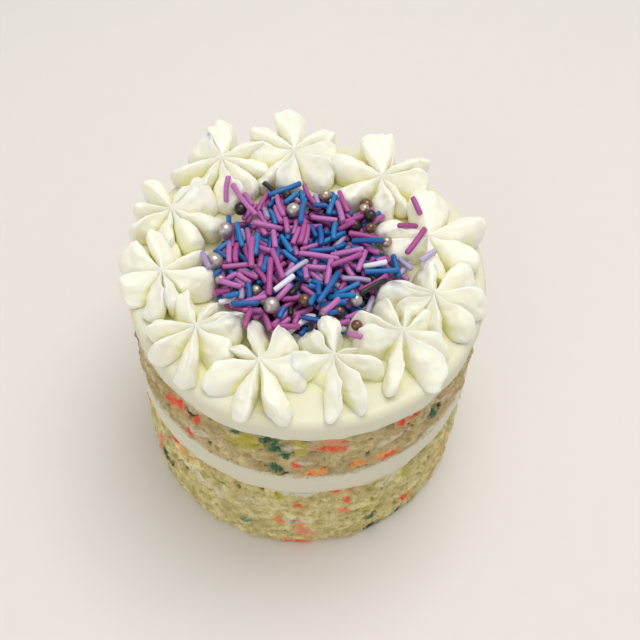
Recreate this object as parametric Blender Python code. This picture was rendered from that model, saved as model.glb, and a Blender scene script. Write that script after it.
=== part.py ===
"""A small round two-layer confetti birthday cake with bare crumb sides.

Lower crumb layer, buttercream filling, upper crumb layer and a buttercream top
stand on each other.  Eleven piped buttercream flowers make a ring round the top,
and a low heap of rod sprinkles and sugar pearls fills the middle.
Metres, +Z up.  The origin is the middle of the flat base.
"""
import math
import random

import bmesh
import bpy
import numpy
from mathutils import Matrix, Vector, noise

# Driving dimensions of the layers
TOP_RADIUS = 0.0750
CRUMB_RADIUS = 0.0738
FILLING_RADIUS = 0.0734
FILLING_BOTTOM = 0.0550
FILLING_TOP = 0.0705
ICING_BOTTOM = 0.1025
ICING_TOP = 0.1135
GAP = 0.0003
MILLIMETRE = 0.001

# Unevenness of the layers
LEVEL_RADIUS = 0.0560
LEVEL_WAVE = 0.0011
LEVEL_WAVE_SIZE = 3.1
CRAG_LUMPS = 0.0010
CRAG_GRAINS = 0.0006
CRAG_SIZE = 0.0105
CRAG_SQUASH = 1.4
GRAINS_PER_LUMP = 2.1
CRUMB_WAVE = 0.0006
FILLING_WAVE = 0.0005
FILLING_RIPPLE = 0.0003
ICING_WAVE = 0.0003
ICING_INSET = 0.0004
NOISE_GAIN = 1.6
NOISE_STEP = 17.3
ROUND_STEPS = 72
SHARP_ANGLE = math.radians(40.0)
# Rounded edge of the icing: way in from its radius and way down from its top
ICING_EDGE = ((-0.0032, 0.0000), (-0.0012, 0.0005), (-0.0002, 0.0017), (0.0000, 0.0040), (-0.0004, 0.0110))

# Piped flowers: direction and distance of each middle from the cake's axis, and for
# each petal its direction in degrees, its length in mm and its share of the usual height
FLOWER_HEIGHT = 0.0132
OVERHANG_RADIUS = 0.0805
HEAP_CLEAR_RADIUS = 0.0300
LEAST_TOWARD = 0.05
FLOWERS = (
    (129.2, 0.0635, ((2, 20, 1.0), (44, 21, 1.1), (90, 22, 1.3), (138, 22, 1.2), (193, 22, 1.05), (230, 18, 1.0),
                     (277, 23, 0.95), (316, 19.5, 1.0))),
    (99.5, 0.0565, ((3, 19, 1.0), (48, 22, 1.15), (90, 24, 1.35), (133, 23, 1.15), (182, 19, 1.0), (226, 21, 1.0),
                    (272, 17.5, 0.95), (324, 19.5, 1.0))),
    (55.9, 0.0524, ((0, 20, 1.0), (45, 25, 1.15), (88, 25, 1.3), (140, 24, 1.05), (205, 20.5, 1.0), (270, 17, 1.0),
                    (318, 17, 0.95))),
    (13.3, 0.0500, ((33, 25, 1.05), (76, 25, 1.05), (158, 21, 1.0), (208, 17, 0.95), (283, 17, 1.0),
                    (332, 22.5, 1.0))),
    (340.9, 0.0535, ((45, 24, 1.0), (103, 17.5, 1.0), (155, 20, 1.0), (184, 22.5, 0.95), (216, 15, 0.9),
                     (262, 20.5, 1.0), (312, 21, 1.0), (355, 21, 1.0))),
    (316.8, 0.0526, ((25, 17.5, 1.0), (75, 12, 0.9), (122, 19, 1.0), (170, 22, 1.0), (204, 21, 1.0), (254, 25, 1.0),
                     (300, 25, 1.0), (338, 18.5, 1.0))),
    (284.1, 0.0501, ((50, 12, 0.85), (88, 16.5, 1.05), (145, 18, 1.0), (203, 20.5, 1.0), (267, 24.5, 1.0),
                     (298, 24, 1.0), (350, 20, 1.0))),
    (253.8, 0.0555, ((48, 19.5, 1.0), (93, 22, 1.05), (130, 15.5, 0.95), (204, 21.5, 1.0), (250, 22, 0.95),
                     (303, 25, 1.0), (350, 17.5, 1.0))),
    (224.4, 0.0565, ((5, 17, 1.0), (40, 20.5, 1.05), (78, 14.5, 0.95), (125, 18, 1.0), (168, 20, 1.0),
                     (207, 19.5, 1.0), (260, 22, 1.0), (318, 18.5, 1.0))),
    (193.7, 0.0590, ((48, 20.5, 1.0), (90, 22, 1.1), (155, 21, 1.0), (212, 17, 1.0), (262, 18, 1.0), (303, 16, 0.95),
                     (348, 20.5, 1.0))),
    (162.4, 0.0605, ((42, 21.5, 1.05), (78, 19, 1.05), (125, 23, 1.15), (165, 17, 1.0), (204, 18.5, 1.0),
                     (260, 17, 1.0), (305, 18.5, 1.0), (350, 21, 1.05))),
)

# Course of a petal's crest and of the groove beside it, from the flower's middle
# over the end to the base: share of the way, share of the reach, share of the height
CREST = ((0.00, 0.00, 1.00), (0.12, 0.10, 0.94), (0.30, 0.32, 0.98), (0.50, 0.58, 1.04),
         (0.66, 0.80, 0.99), (0.80, 0.95, 0.74), (0.90, 1.00, 0.40), (1.00, 0.94, 0.00))
GROOVE = ((0.00, 0.00, 1.00), (0.12, 0.07, 0.80), (0.30, 0.16, 0.55), (0.50, 0.25, 0.32),
          (0.66, 0.32, 0.16), (0.80, 0.37, 0.06), (0.90, 0.40, 0.02), (1.00, 0.42, 0.00))
GROOVE_REACH = 0.42
PETAL_FULLNESS = 2.4
LOBE_SHARE = 0.92
LOBE_HALF_ANGLE = math.radians(30.0)
LEAST_SPREAD = 0.001
PETAL_LEAN = 0.48
PETAL_RINGS = (0.14, 0.50, 0.74, 0.90, 1.00)
PETAL_SAMPLES = (-1.0, -0.80, -0.42, 0.42, 0.80)

# The heap of sprinkles
HEAP_CENTRE = Vector((0.0010, -0.0030))
HEAP_REACH = 0.0400
HEAP_LEAST_REACH = 0.0240
HEAP_HEIGHT = 0.0048
HEAP_STEPS = 40
EDGE_STEP = 0.0004
EDGE_CLEAR = 0.0012
EDGE_SAMPLES = 4
# Fall of the mound from its middle: share of the reach and share of the height
MOUND = ((0.00, 1.00), (0.45, 0.96), (0.80, 0.80), (1.00, 0.50))
MOUND_WAVE = 0.18
ROD_RADIUS = 0.00112
ROD_LENGTHS = (0.0075, 0.0135)
ROD_SIDES = 5
ROD_SPOTS = 307
ROD_TRIES = 4600
ROD_TILT = 0.10
ROD_LIFT = 0.25
ROD_STEPS_UP = (0.0, 0.0003, 0.0006)
ROD_CROWDING = 0.20
ROD_SAMPLES = 7
PIECE_CLEAR = 0.0006
PEARL_LIFT = 0.60
STRAY_LIFT = 0.15
PETAL_SURVEY = 31
MERGE_DISTANCE = 2e-6
# Sugar pearls: x, y and radius
PEARLS = (
    (-0.0084, 0.0239, 0.0031), (-0.0347, 0.0115, 0.0033), (-0.0374, -0.0057, 0.0037),
    (-0.0139, -0.0270, 0.0033), (0.0189, -0.0204, 0.0027), (0.0047, 0.0323, 0.0026),
    (0.0228, 0.0302, 0.0026), (0.0233, 0.0246, 0.0022), (0.0259, 0.0204, 0.0027),
    (-0.0285, 0.0213, 0.0028), (0.0322, 0.0083, 0.0024), (0.0189, 0.0159, 0.0026),
    (0.0234, 0.0163, 0.0022), (-0.0012, -0.0222, 0.0026), (0.0077, -0.0265, 0.0025),
    (0.0136, -0.0270, 0.0024), (-0.0196, -0.0191, 0.0021), (-0.0115, 0.0316, 0.0021),
)
# Rods that lie on petals: flower number, distance from its middle, direction there,
# and the rod's own direction and length
STRAY_RODS = (
    (1, 0.0160, 278, 75, 0.0092), (4, 0.0120, 160, 212, 0.0120), (4, 0.0100, 208, 232, 0.0100),
    (9, 0.0100, 77, 80, 0.0080), (10, 0.0150, 46, 55, 0.0084), (5, 0.0110, 105, 25, 0.0080),
    (8, 0.0135, 90, 350, 0.0082),
)

SEED = 11


def fresh_scene():
    """Remove what the scene holds and make the cake's collection."""
    for old in list(bpy.data.objects):
        bpy.data.objects.remove(old, do_unlink=True)
    parts = bpy.data.collections.new("confetti_birthday_cake")
    bpy.context.scene.collection.children.link(parts)
    return parts


def material(name, color, roughness):
    """A plain Principled material."""
    made = bpy.data.materials.new(name)
    made.use_nodes = True
    shader = made.node_tree.nodes["Principled BSDF"]
    shader.inputs["Base Color"].default_value = (*color, 1.0)
    shader.inputs["Roughness"].default_value = roughness
    return made


def moulded(name, rings, steps, surface_point):
    """A sphere primitive whose rings are moved to surface_point(ring, step).

    Ring 0 is the top pole and ring rings + 1 the bottom pole.
    """
    bm = bmesh.new()
    bmesh.ops.create_uvsphere(bm, u_segments=steps, v_segments=rings + 1, radius=1.0)
    places = []
    for vert in bm.verts:
        polar = math.acos(max(-1.0, min(1.0, vert.co.z)))
        ring = round(polar / math.pi * (rings + 1))
        step = round(math.atan2(vert.co.y, vert.co.x) / math.tau * steps) % steps
        places.append((vert, surface_point(ring, step)))
    for vert, place in places:
        vert.co = place
    bmesh.ops.triangulate(bm, faces=bm.faces[:])
    bmesh.ops.recalc_face_normals(bm, faces=bm.faces[:])
    return object_from(bm, name)


def object_from(bm, name):
    """Turn a bmesh into a linked object."""
    mesh = bpy.data.meshes.new(name)
    bm.to_mesh(mesh)
    bm.free()
    made = bpy.data.objects.new(name, mesh)
    bpy.context.scene.collection.objects.link(made)
    return made


def finish(piece, parts, look):
    """Give a piece its material and shading and move it to the parts."""
    for holder in list(piece.users_collection):
        holder.objects.unlink(piece)
    parts.objects.link(piece)
    piece.data.materials.clear()
    piece.data.materials.append(look)
    piece.data.shade_smooth()
    piece.data.set_sharp_from_angle(angle=SHARP_ANGLE)


def around(angle, size, layer):
    """Slow noise round the cake, from about -1 to 1."""
    place = Vector((math.cos(angle) * size, math.sin(angle) * size, layer * NOISE_STEP))
    return NOISE_GAIN * noise.noise(place)


def crag(angle, height, layer):
    """Depth of the bare crumb at a place on the side: lumps with pits between them."""
    place = Vector((CRUMB_RADIUS * math.cos(angle), CRUMB_RADIUS * math.sin(angle), height * CRAG_SQUASH))
    place = place / CRAG_SIZE + Vector((0.0, 0.0, layer * NOISE_STEP))
    return CRAG_LUMPS * noise.noise(place) + CRAG_GRAINS * noise.noise(place * GRAINS_PER_LUMP)


def meeting_level(height, layer, angle, radius):
    """Height of the uneven joint between two layers, flat in the middle."""
    share = max(0.0, (radius - LEVEL_RADIUS) / (TOP_RADIUS - LEVEL_RADIUS))
    return height + LEVEL_WAVE * share * around(angle, LEVEL_WAVE_SIZE, layer)


def layer_body(name, bottom, top, rim, rows, bulge, wave_bottom, wave_top):
    """A round layer between two levels; rim(angle, height) gives its outer radius."""
    rings = rows + 3

    def surface_point(ring, step):
        angle = math.tau * step / ROUND_STEPS
        row = ring - 2
        share = min(1.0, max(0.0, row / rows))
        if ring in (0, rings + 1):
            radius = 0.0
        elif ring in (1, rings):
            radius = LEVEL_RADIUS
        else:
            swell = bulge * (1.0 - (2.0 * share - 1.0) ** 2)
            radius = rim(angle, top + share * (bottom - top)) + swell
        low = meeting_level(bottom, wave_bottom, angle, radius) if wave_bottom else bottom
        high = meeting_level(top, wave_top, angle, radius) if wave_top else top
        return Vector((radius * math.cos(angle), radius * math.sin(angle), high + share * (low - high)))

    return moulded(name, rings, ROUND_STEPS, surface_point)


def crumb_layers(parts):
    """The two crumb layers with the filling between them."""
    crumb = material("bare_crumb", (0.60, 0.50, 0.31), 0.85)
    cream = material("buttercream", (0.86, 0.83, 0.70), 0.45)

    def crumb_rim(layer):
        def rim(angle, height):
            return CRUMB_RADIUS + CRUMB_WAVE * around(angle, 1.2, layer) + crag(angle, height, layer)
        return rim

    def cream_rim(angle, _):
        return FILLING_RADIUS + FILLING_WAVE * around(angle, 2.4, 7) + FILLING_RIPPLE * around(angle, 6.0, 8)

    lower = layer_body("lower_cake_layer", 0.0, FILLING_BOTTOM - GAP, crumb_rim(1), 9, 0.0006, 0, 4)
    filling = layer_body("buttercream_filling", FILLING_BOTTOM, FILLING_TOP - GAP, cream_rim, 3, 0.0006, 4, 5)
    upper = layer_body("upper_cake_layer", FILLING_TOP, ICING_BOTTOM - GAP, crumb_rim(2), 6, 0.0003, 5, 6)
    finish(lower, parts, crumb)
    finish(filling, parts, cream)
    finish(upper, parts, crumb)
    return cream


def icing_top(parts, cream):
    """The slab of buttercream on top, with a rounded upper edge and a plain side."""
    rings = len(ICING_EDGE) + 2

    def surface_point(ring, step):
        angle = math.tau * step / ROUND_STEPS
        if ring in (0, rings + 1):
            return Vector((0.0, 0.0, ICING_TOP if ring == 0 else ICING_BOTTOM))
        if ring == rings:
            return Vector((LEVEL_RADIUS * math.cos(angle), LEVEL_RADIUS * math.sin(angle), ICING_BOTTOM))
        if ring == 1:
            return Vector((LEVEL_RADIUS * math.cos(angle), LEVEL_RADIUS * math.sin(angle), ICING_TOP))
        inset, drop = ICING_EDGE[ring - 2]
        radius = TOP_RADIUS - ICING_INSET + inset + ICING_WAVE * around(angle, 1.7, 9)
        height = ICING_TOP - drop
        if ring == rings - 1:
            height = meeting_level(ICING_BOTTOM, 6, angle, radius)
        return Vector((radius * math.cos(angle), radius * math.sin(angle), height))

    finish(moulded("top_buttercream", rings, ROUND_STEPS, surface_point), parts, cream)


def flower_centre(number):
    """Middle of a flower in plan."""
    direction, distance, _ = FLOWERS[number]
    turn = math.radians(direction)
    return Vector((distance * math.cos(turn), distance * math.sin(turn)))


def leave_circle(start, heading, middle, radius):
    """Way from a point inside a circle to its edge along heading."""
    offset = start - middle
    along = offset.dot(heading)
    return -along + math.sqrt(max(0.0, along * along - offset.length_squared + radius * radius))


def meet_circle(start, heading, middle, radius):
    """Way from a point outside a circle to it, or a long way if the heading misses it."""
    offset = start - middle
    along = offset.dot(heading)
    inside = along * along - offset.length_squared + radius * radius
    if along >= 0.0 or inside <= 0.0:
        return 1.0
    return -along - math.sqrt(inside)


def free_reach(number, angle):
    """How far a petal can go before it meets a neighbour, the heap or the outer limit."""
    start = flower_centre(number)
    heading = Vector((math.cos(angle), math.sin(angle)))
    reach = leave_circle(start, heading, Vector((0.0, 0.0)), OVERHANG_RADIUS)
    reach = min(reach, meet_circle(start, heading, HEAP_CENTRE, HEAP_CLEAR_RADIUS))
    for other in range(len(FLOWERS)):
        if other == number:
            continue
        between = flower_centre(other) - start
        toward = heading.dot(between.normalized())
        if toward > LEAST_TOWARD:
            reach = min(reach, (between.length / 2.0 - GAP) / toward)
    return reach


class Petals:
    """The petals of one flower, with the grooves between them."""

    def __init__(self, number):
        draw = random.Random(SEED * 100 + number)
        petals = FLOWERS[number][2]
        self.number = number
        self.centre = flower_centre(number)
        self.directions = [math.radians(direction) for direction, _, _ in petals]
        self.count = len(petals)
        self.lengths = [length * MILLIMETRE for _, length, _ in petals]
        self.heights = [FLOWER_HEIGHT * share for _, _, share in petals]
        self.leans = [draw.uniform(-PETAL_LEAN, PETAL_LEAN) for _ in petals]

    def groove_after(self, petal):
        """Direction of the groove that follows a petal."""
        here = self.directions[petal]
        after = self.directions[(petal + 1) % self.count]
        return here + ((after - here) % math.tau) / 2.0

    def half_gap(self, petal, across):
        """Angle between a petal and the groove on one side of it."""
        middle = self.directions[petal]
        if across < 0.0:
            return (middle - self.groove_after((petal - 1) % self.count)) % math.tau
        return (self.groove_after(petal) - middle) % math.tau

    def point(self, petal, across, share):
        """Point of the surface: share 0 is the middle on top, 1 is the base."""
        half = self.half_gap(petal, across)
        angle = self.directions[petal] + across * half
        lobe = min(1.0 - LEAST_SPREAD, abs(across) * half / (LOBE_SHARE * min(half, LOBE_HALF_ANGLE)))
        full = (1.0 - lobe ** PETAL_FULLNESS) ** (1.0 / PETAL_FULLNESS)
        crest_reach, crest_height = course(CREST, share)
        groove_reach, groove_height = course(GROOVE, share)
        after = (petal + 1) % self.count if across > 0.0 else (petal - 1) % self.count
        mix = abs(across) / 2.0
        length = self.lengths[petal] * (1.0 - mix) + self.lengths[after] * mix
        tall = self.heights[petal] * (1.0 - mix) + self.heights[after] * mix
        tall *= 1.0 + self.leans[petal] * across * (1.0 - abs(across)) * share
        widest = length * (GROOVE_REACH + (1.0 - GROOVE_REACH) * full)
        length *= min(1.0, free_reach(self.number, angle) / widest)
        reach = length * (groove_reach + (crest_reach - groove_reach) * full)
        rise = tall * (groove_height + (crest_height - groove_height) * full)
        rise = FLOWER_HEIGHT if share == 0.0 else rise
        x = self.centre.x + reach * math.cos(angle)
        y = self.centre.y + reach * math.sin(angle)
        return Vector((x, y, ICING_TOP + GAP + rise))


def survey(petals):
    """Points spread over all the petals of a flower."""
    for petal in range(petals.count):
        for across in numpy.linspace(-1.0, 1.0, PETAL_SURVEY):
            for share in numpy.linspace(0.0, 1.0, PETAL_SURVEY):
                yield petals.point(petal, float(across), float(share))


def course(table, share):
    """Reach and height along a petal's course."""
    shares = [row[0] for row in table]
    reach = numpy.interp(share, shares, [row[1] for row in table])
    height = numpy.interp(share, shares, [row[2] for row in table])
    return float(reach), float(height)


def flower_body(number):
    """One piped flower as a closed body."""
    petals = Petals(number)
    samples = len(PETAL_SAMPLES)
    rings = len(PETAL_RINGS)

    def surface_point(ring, step):
        if ring == 0:
            return petals.point(0, 0.0, 0.0)
        if ring == rings + 1:
            return Vector((petals.centre.x, petals.centre.y, ICING_TOP + GAP))
        petal, sample = divmod(step, samples)
        return petals.point(petal, PETAL_SAMPLES[sample], PETAL_RINGS[ring - 1])

    return moulded(f"buttercream_flower_{number + 1:02d}", rings, petals.count * samples, surface_point)


def rod(middle, heading, length):
    """A rod sprinkle with its axis along heading."""
    bm = bmesh.new()
    bmesh.ops.create_cone(bm, cap_ends=True, segments=ROD_SIDES, radius1=ROD_RADIUS, radius2=ROD_RADIUS, depth=length)
    turn = Vector((0.0, 0.0, 1.0)).rotation_difference(heading).to_matrix().to_4x4()
    bmesh.ops.transform(bm, matrix=Matrix.Translation(middle) @ turn, verts=bm.verts)
    return object_from(bm, "rod")


def pearl(middle, radius):
    """A sugar pearl."""
    bm = bmesh.new()
    bmesh.ops.create_uvsphere(bm, u_segments=7, v_segments=5, radius=radius)
    bmesh.ops.transform(bm, matrix=Matrix.Translation(middle), verts=bm.verts)
    return object_from(bm, "pearl")


class Footprint:
    """Heights of the flowers' tops on a grid, to keep the heap clear of them."""

    CELL = 0.0005
    HALF = 0.060

    def __init__(self):
        size = int(2 * self.HALF / self.CELL) + 1
        self.heights = numpy.zeros((size, size))
        for number in range(len(FLOWERS)):
            for place in survey(Petals(number)):
                self.raise_to(place.x, place.y, place.z - ICING_TOP)

    def cell(self, x, y):
        """Row and column of a place."""
        return round((x + self.HALF) / self.CELL), round((y + self.HALF) / self.CELL)

    def raise_to(self, x, y, height):
        """Raise one cell."""
        row, column = self.cell(x, y)
        if 0 <= row < len(self.heights) and 0 <= column < len(self.heights):
            self.heights[row, column] = max(self.heights[row, column], height)

    def under(self, x, y, radius):
        """Highest flower within radius of a place."""
        row, column = self.cell(x, y)
        span = int(math.ceil(radius / self.CELL))
        window = self.heights[max(0, row - span):row + span + 1, max(0, column - span):column + span + 1]
        return float(window.max()) if window.size else 0.0


def heap_edge(footprint, angle):
    """Distance from the heap's middle to its edge, which follows the petals."""
    distance = HEAP_LEAST_REACH
    while distance < HEAP_REACH:
        x = HEAP_CENTRE.x + distance * math.cos(angle)
        y = HEAP_CENTRE.y + distance * math.sin(angle)
        if footprint.under(x, y, EDGE_CLEAR) > 0.0:
            break
        distance += EDGE_STEP
    return distance


def heap_core(footprint):
    """The low mound under the sprinkles."""
    count = EDGE_SAMPLES * HEAP_STEPS
    fine = [heap_edge(footprint, math.tau * index / count) for index in range(count)]
    edges = []
    for step in range(HEAP_STEPS):
        near = [fine[(EDGE_SAMPLES * step + shift) % count] for shift in range(-EDGE_SAMPLES, EDGE_SAMPLES + 1)]
        edges.append(min(near) - EDGE_STEP)
    profile = (*MOUND[1:], (1.00, 0.00))
    rings = len(profile)

    def surface_point(ring, step):
        base = ICING_TOP + GAP
        if ring in (0, rings + 1):
            return Vector((*HEAP_CENTRE, base + (HEAP_HEIGHT if ring == 0 else 0.0)))
        share, level = profile[ring - 1]
        angle = math.tau * step / HEAP_STEPS
        reach = edges[step] * share
        uneven = 1.0 + MOUND_WAVE * around(angle, 2.7, 12 + ring) if 0.0 < level < MOUND[1][1] else 1.0
        return Vector((HEAP_CENTRE.x + reach * math.cos(angle), HEAP_CENTRE.y + reach * math.sin(angle),
                       base + HEAP_HEIGHT * level * uneven))

    return moulded("sprinkle_heap", rings, HEAP_STEPS, surface_point), edges


def mound_height(edges, x, y):
    """Height of the mound's top at a place, or nothing outside it."""
    offset = Vector((x, y)) - HEAP_CENTRE
    angle = math.atan2(offset.y, offset.x) % math.tau
    edge = edges[int(angle / math.tau * HEAP_STEPS) % HEAP_STEPS]
    share = offset.length / edge
    if share > 1.0:
        return None
    shares, levels = zip(*MOUND)
    return HEAP_HEIGHT * float(numpy.interp(share, shares, levels))


def heap_pieces(footprint, edges):
    """Rods and pearls that lie on the mound, clear of the flowers and side by side."""
    draw = random.Random(SEED)
    made = []
    taken = []
    base = ICING_TOP + GAP
    for x, y, radius in PEARLS:
        level = mound_height(edges, x, y)
        if level is None or footprint.under(x, y, radius + PIECE_CLEAR) > 0.0:
            continue
        made.append(pearl(Vector((x, y, base + level + radius * PEARL_LIFT)), radius))
        taken.append((x, y, radius))
    golden = math.pi * (3.0 - math.sqrt(5.0))
    for index in range(ROD_TRIES):
        share = math.sqrt((index % ROD_SPOTS + 0.5) / ROD_SPOTS)
        angle = golden * index
        x = HEAP_CENTRE.x + HEAP_REACH * share * math.cos(angle)
        y = HEAP_CENTRE.y + HEAP_REACH * share * math.sin(angle)
        turn = draw.uniform(0.0, math.pi)
        length = draw.uniform(*ROD_LENGTHS)
        heading = Vector((math.cos(turn), math.sin(turn), draw.uniform(-ROD_TILT, ROD_TILT))).normalized()
        lift = ROD_RADIUS * ROD_LIFT + draw.choice(ROD_STEPS_UP)
        level = mound_height(edges, x, y)
        if level is None:
            continue
        middle = Vector((x, y, base + level + lift))
        along = [middle + heading * length * part for part in numpy.linspace(-0.5, 0.5, ROD_SAMPLES)]
        if any(footprint.under(spot.x, spot.y, ROD_RADIUS + PIECE_CLEAR) > 0.0 for spot in along):
            continue
        if min(spot.z for spot in along) < base + ROD_RADIUS + GAP:
            continue
        if any(math.hypot(spot.x - x_other, spot.y - y_other) < radius + ROD_RADIUS * ROD_CROWDING
               for spot in along for x_other, y_other, radius in taken):
            continue
        made.append(rod(middle, heading, length))
        taken.extend((spot.x, spot.y, ROD_RADIUS) for spot in along)
    return made


def fuse(target, pieces):
    """Join pieces to a target by one Boolean union on their collection."""
    if not pieces:
        return
    holder = bpy.data.collections.new("pieces_to_fuse")
    bpy.context.scene.collection.children.link(holder)
    for piece in pieces:
        for old in list(piece.users_collection):
            old.objects.unlink(piece)
        holder.objects.link(piece)
    union = target.modifiers.new("fused_pieces", "BOOLEAN")
    union.operation = "UNION"
    union.operand_type = "COLLECTION"
    union.collection = holder
    union.solver = "MANIFOLD"
    bpy.context.view_layer.update()
    evaluated = target.evaluated_get(bpy.context.evaluated_depsgraph_get())
    joined = bpy.data.meshes.new_from_object(evaluated)
    target.modifiers.clear()
    target.data = joined
    for piece in list(holder.objects):
        bpy.data.objects.remove(piece, do_unlink=True)
    bpy.data.collections.remove(holder)
    tidy_mesh(target)


def tidy_mesh(target):
    """Merge close points, keep the largest body and point its faces out."""
    bm = bmesh.new()
    bm.from_mesh(target.data)
    bmesh.ops.triangulate(bm, faces=bm.faces[:])
    bmesh.ops.remove_doubles(bm, verts=bm.verts[:], dist=MERGE_DISTANCE)
    bmesh.ops.dissolve_degenerate(bm, edges=bm.edges[:], dist=MERGE_DISTANCE)
    bmesh.ops.triangulate(bm, faces=bm.faces[:])
    unseen = set(bm.verts)
    bodies = []
    while unseen:
        stack = [unseen.pop()]
        body = set(stack)
        while stack:
            for edge in stack.pop().link_edges:
                for vert in edge.verts:
                    if vert in unseen:
                        unseen.discard(vert)
                        body.add(vert)
                        stack.append(vert)
        bodies.append(body)
    bodies.sort(key=len, reverse=True)
    loose = [vert for body in bodies[1:] for vert in body]
    bmesh.ops.delete(bm, geom=loose, context="VERTS")
    bmesh.ops.recalc_face_normals(bm, faces=bm.faces[:])
    bm.to_mesh(target.data)
    bm.free()


def stray_rods(number):
    """Rods that lie on one flower's petals, low enough to be fused to it."""
    petals = Petals(number)
    made = []
    for flower, distance, direction, turn, length in STRAY_RODS:
        if flower != number + 1:
            continue
        angle = math.radians(direction)
        x = petals.centre.x + distance * math.cos(angle)
        y = petals.centre.y + distance * math.sin(angle)
        heading = Vector((math.cos(math.radians(turn)), math.sin(math.radians(turn)), 0.0))
        level = max(place.z for place in survey(petals) if math.hypot(place.x - x, place.y - y) < ROD_RADIUS)
        made.append(rod(Vector((x, y, level + ROD_RADIUS * STRAY_LIFT)), heading, length))
    return made


def main():
    parts = fresh_scene()
    cream = crumb_layers(parts)
    icing_top(parts, cream)
    for number in range(len(FLOWERS)):
        flower = flower_body(number)
        fuse(flower, stray_rods(number))
        finish(flower, parts, cream)
    footprint = Footprint()
    heap, edges = heap_core(footprint)
    fuse(heap, heap_pieces(footprint, edges))
    finish(heap, parts, material("sugar_sprinkles", (0.48, 0.10, 0.40), 0.35))


main()
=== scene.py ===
"""Looks of the confetti birthday cake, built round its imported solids.  Metres, +Z up."""
import math
import random

import bpy
import numpy as np
from mathutils import Euler, Matrix, Vector
from mathutils.bvhtree import BVHTree


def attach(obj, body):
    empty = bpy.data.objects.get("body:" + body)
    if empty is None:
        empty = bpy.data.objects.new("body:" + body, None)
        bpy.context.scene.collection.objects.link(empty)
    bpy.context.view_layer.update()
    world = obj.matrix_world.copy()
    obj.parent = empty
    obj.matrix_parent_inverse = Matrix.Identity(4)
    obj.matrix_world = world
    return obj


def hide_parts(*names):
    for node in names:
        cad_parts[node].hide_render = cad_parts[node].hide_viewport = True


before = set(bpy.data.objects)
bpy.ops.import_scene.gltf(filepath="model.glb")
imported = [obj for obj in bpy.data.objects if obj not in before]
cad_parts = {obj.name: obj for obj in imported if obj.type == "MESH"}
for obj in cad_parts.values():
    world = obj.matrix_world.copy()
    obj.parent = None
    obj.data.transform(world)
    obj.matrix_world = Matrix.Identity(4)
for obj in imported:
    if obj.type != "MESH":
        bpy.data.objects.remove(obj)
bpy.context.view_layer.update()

MM = 0.001

# Sizes of the cake, as in the solids
TOP_RADIUS = 0.0750
CRUMB_RADIUS = 0.0738
FILLING_RADIUS = 0.0734
FILLING_BOTTOM = 0.0550
FILLING_TOP = 0.0705
ICING_BOTTOM = 0.1025
ICING_TOP = 0.1135
INNER_RADIUS = 0.0500

# Piped flowers: usual height, how deep they stand in the icing, the middle's share of the height,
# and how far petals may go over the rim, towards the heap and over their neighbours
FLOWER_HEIGHT = 0.0132
FLOWER_SINK = 0.0007
PEAK_SHARE = 0.97
OVERHANG_RADIUS = 0.0805
HEAP_CLEAR_RADIUS = 0.0300
NEIGHBOUR_OVERLAP = 1.38
# Direction in degrees and distance of each flower's middle from the cake's axis, and for each
# petal its direction in degrees, its length in mm and its share of the usual height
FLOWERS = (
    (129.2, 0.0635, ((2, 20, 1.0), (44, 21, 1.1), (90, 20.5, 1.12), (138, 22, 1.2), (193, 22, 1.05),
                     (230, 18, 1.0), (277, 23, 0.95), (316, 19.5, 1.0))),
    (99.5, 0.0565, ((3, 19, 1.0), (48, 22, 1.15), (90, 22.5, 1.16), (133, 23, 1.15), (182, 19, 1.0),
                     (226, 21, 1.0), (272, 17.5, 0.95), (324, 19.5, 1.0))),
    (55.9, 0.0524, ((0, 20, 1.0), (45, 25, 1.15), (88, 23.5, 1.12), (140, 24, 1.05), (205, 20.5, 1.0),
                     (270, 17, 1.0), (318, 17, 0.95))),
    (13.3, 0.0500, ((35, 27, 1.05), (77, 28, 1.05), (158, 21, 1.0), (208, 17, 0.95), (283, 17, 1.0),
                     (332, 22.5, 1.0))),
    (340.9, 0.0535, ((45, 24, 1.0), (103, 17.5, 1.0), (155, 20, 1.0), (184, 22.5, 0.95), (216, 15, 0.9),
                     (262, 20.5, 1.0), (312, 21, 1.0), (355, 21, 1.0))),
    (316.8, 0.0526, ((25, 17.5, 1.0), (75, 12, 0.9), (122, 19, 1.0), (170, 22, 1.0), (204, 21, 1.0),
                     (254, 25, 1.0), (300, 25, 1.0), (338, 18.5, 1.0))),
    (284.1, 0.0501, ((50, 12, 0.85), (88, 16.5, 1.05), (145, 18, 1.0), (203, 20.5, 1.0), (267, 24.5, 1.0),
                     (298, 24, 1.0), (350, 20, 1.0))),
    (253.8, 0.0555, ((48, 19.5, 1.0), (93, 22, 1.05), (130, 15.5, 0.95), (204, 21.5, 1.0),
                     (250, 22, 0.95), (303, 25, 1.0), (350, 17.5, 1.0))),
    (224.4, 0.0565, ((5, 17, 1.0), (40, 20.5, 1.05), (78, 14.5, 0.95), (125, 18, 1.0), (168, 20, 1.0),
                     (207, 19.5, 1.0), (260, 22, 1.0), (318, 18.5, 1.0))),
    (193.7, 0.0590, ((48, 20.5, 1.0), (90, 22, 1.1), (155, 21, 1.0), (212, 17, 1.0), (262, 18, 1.0),
                     (303, 16, 0.95), (348, 20.5, 1.0))),
    (162.4, 0.0605, ((42, 21.5, 1.05), (78, 19, 1.05), (125, 23, 1.15), (165, 17, 1.0), (204, 18.5, 1.0),
                     (260, 17, 1.0), (305, 18.5, 1.0), (350, 21, 1.05))),
)

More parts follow.
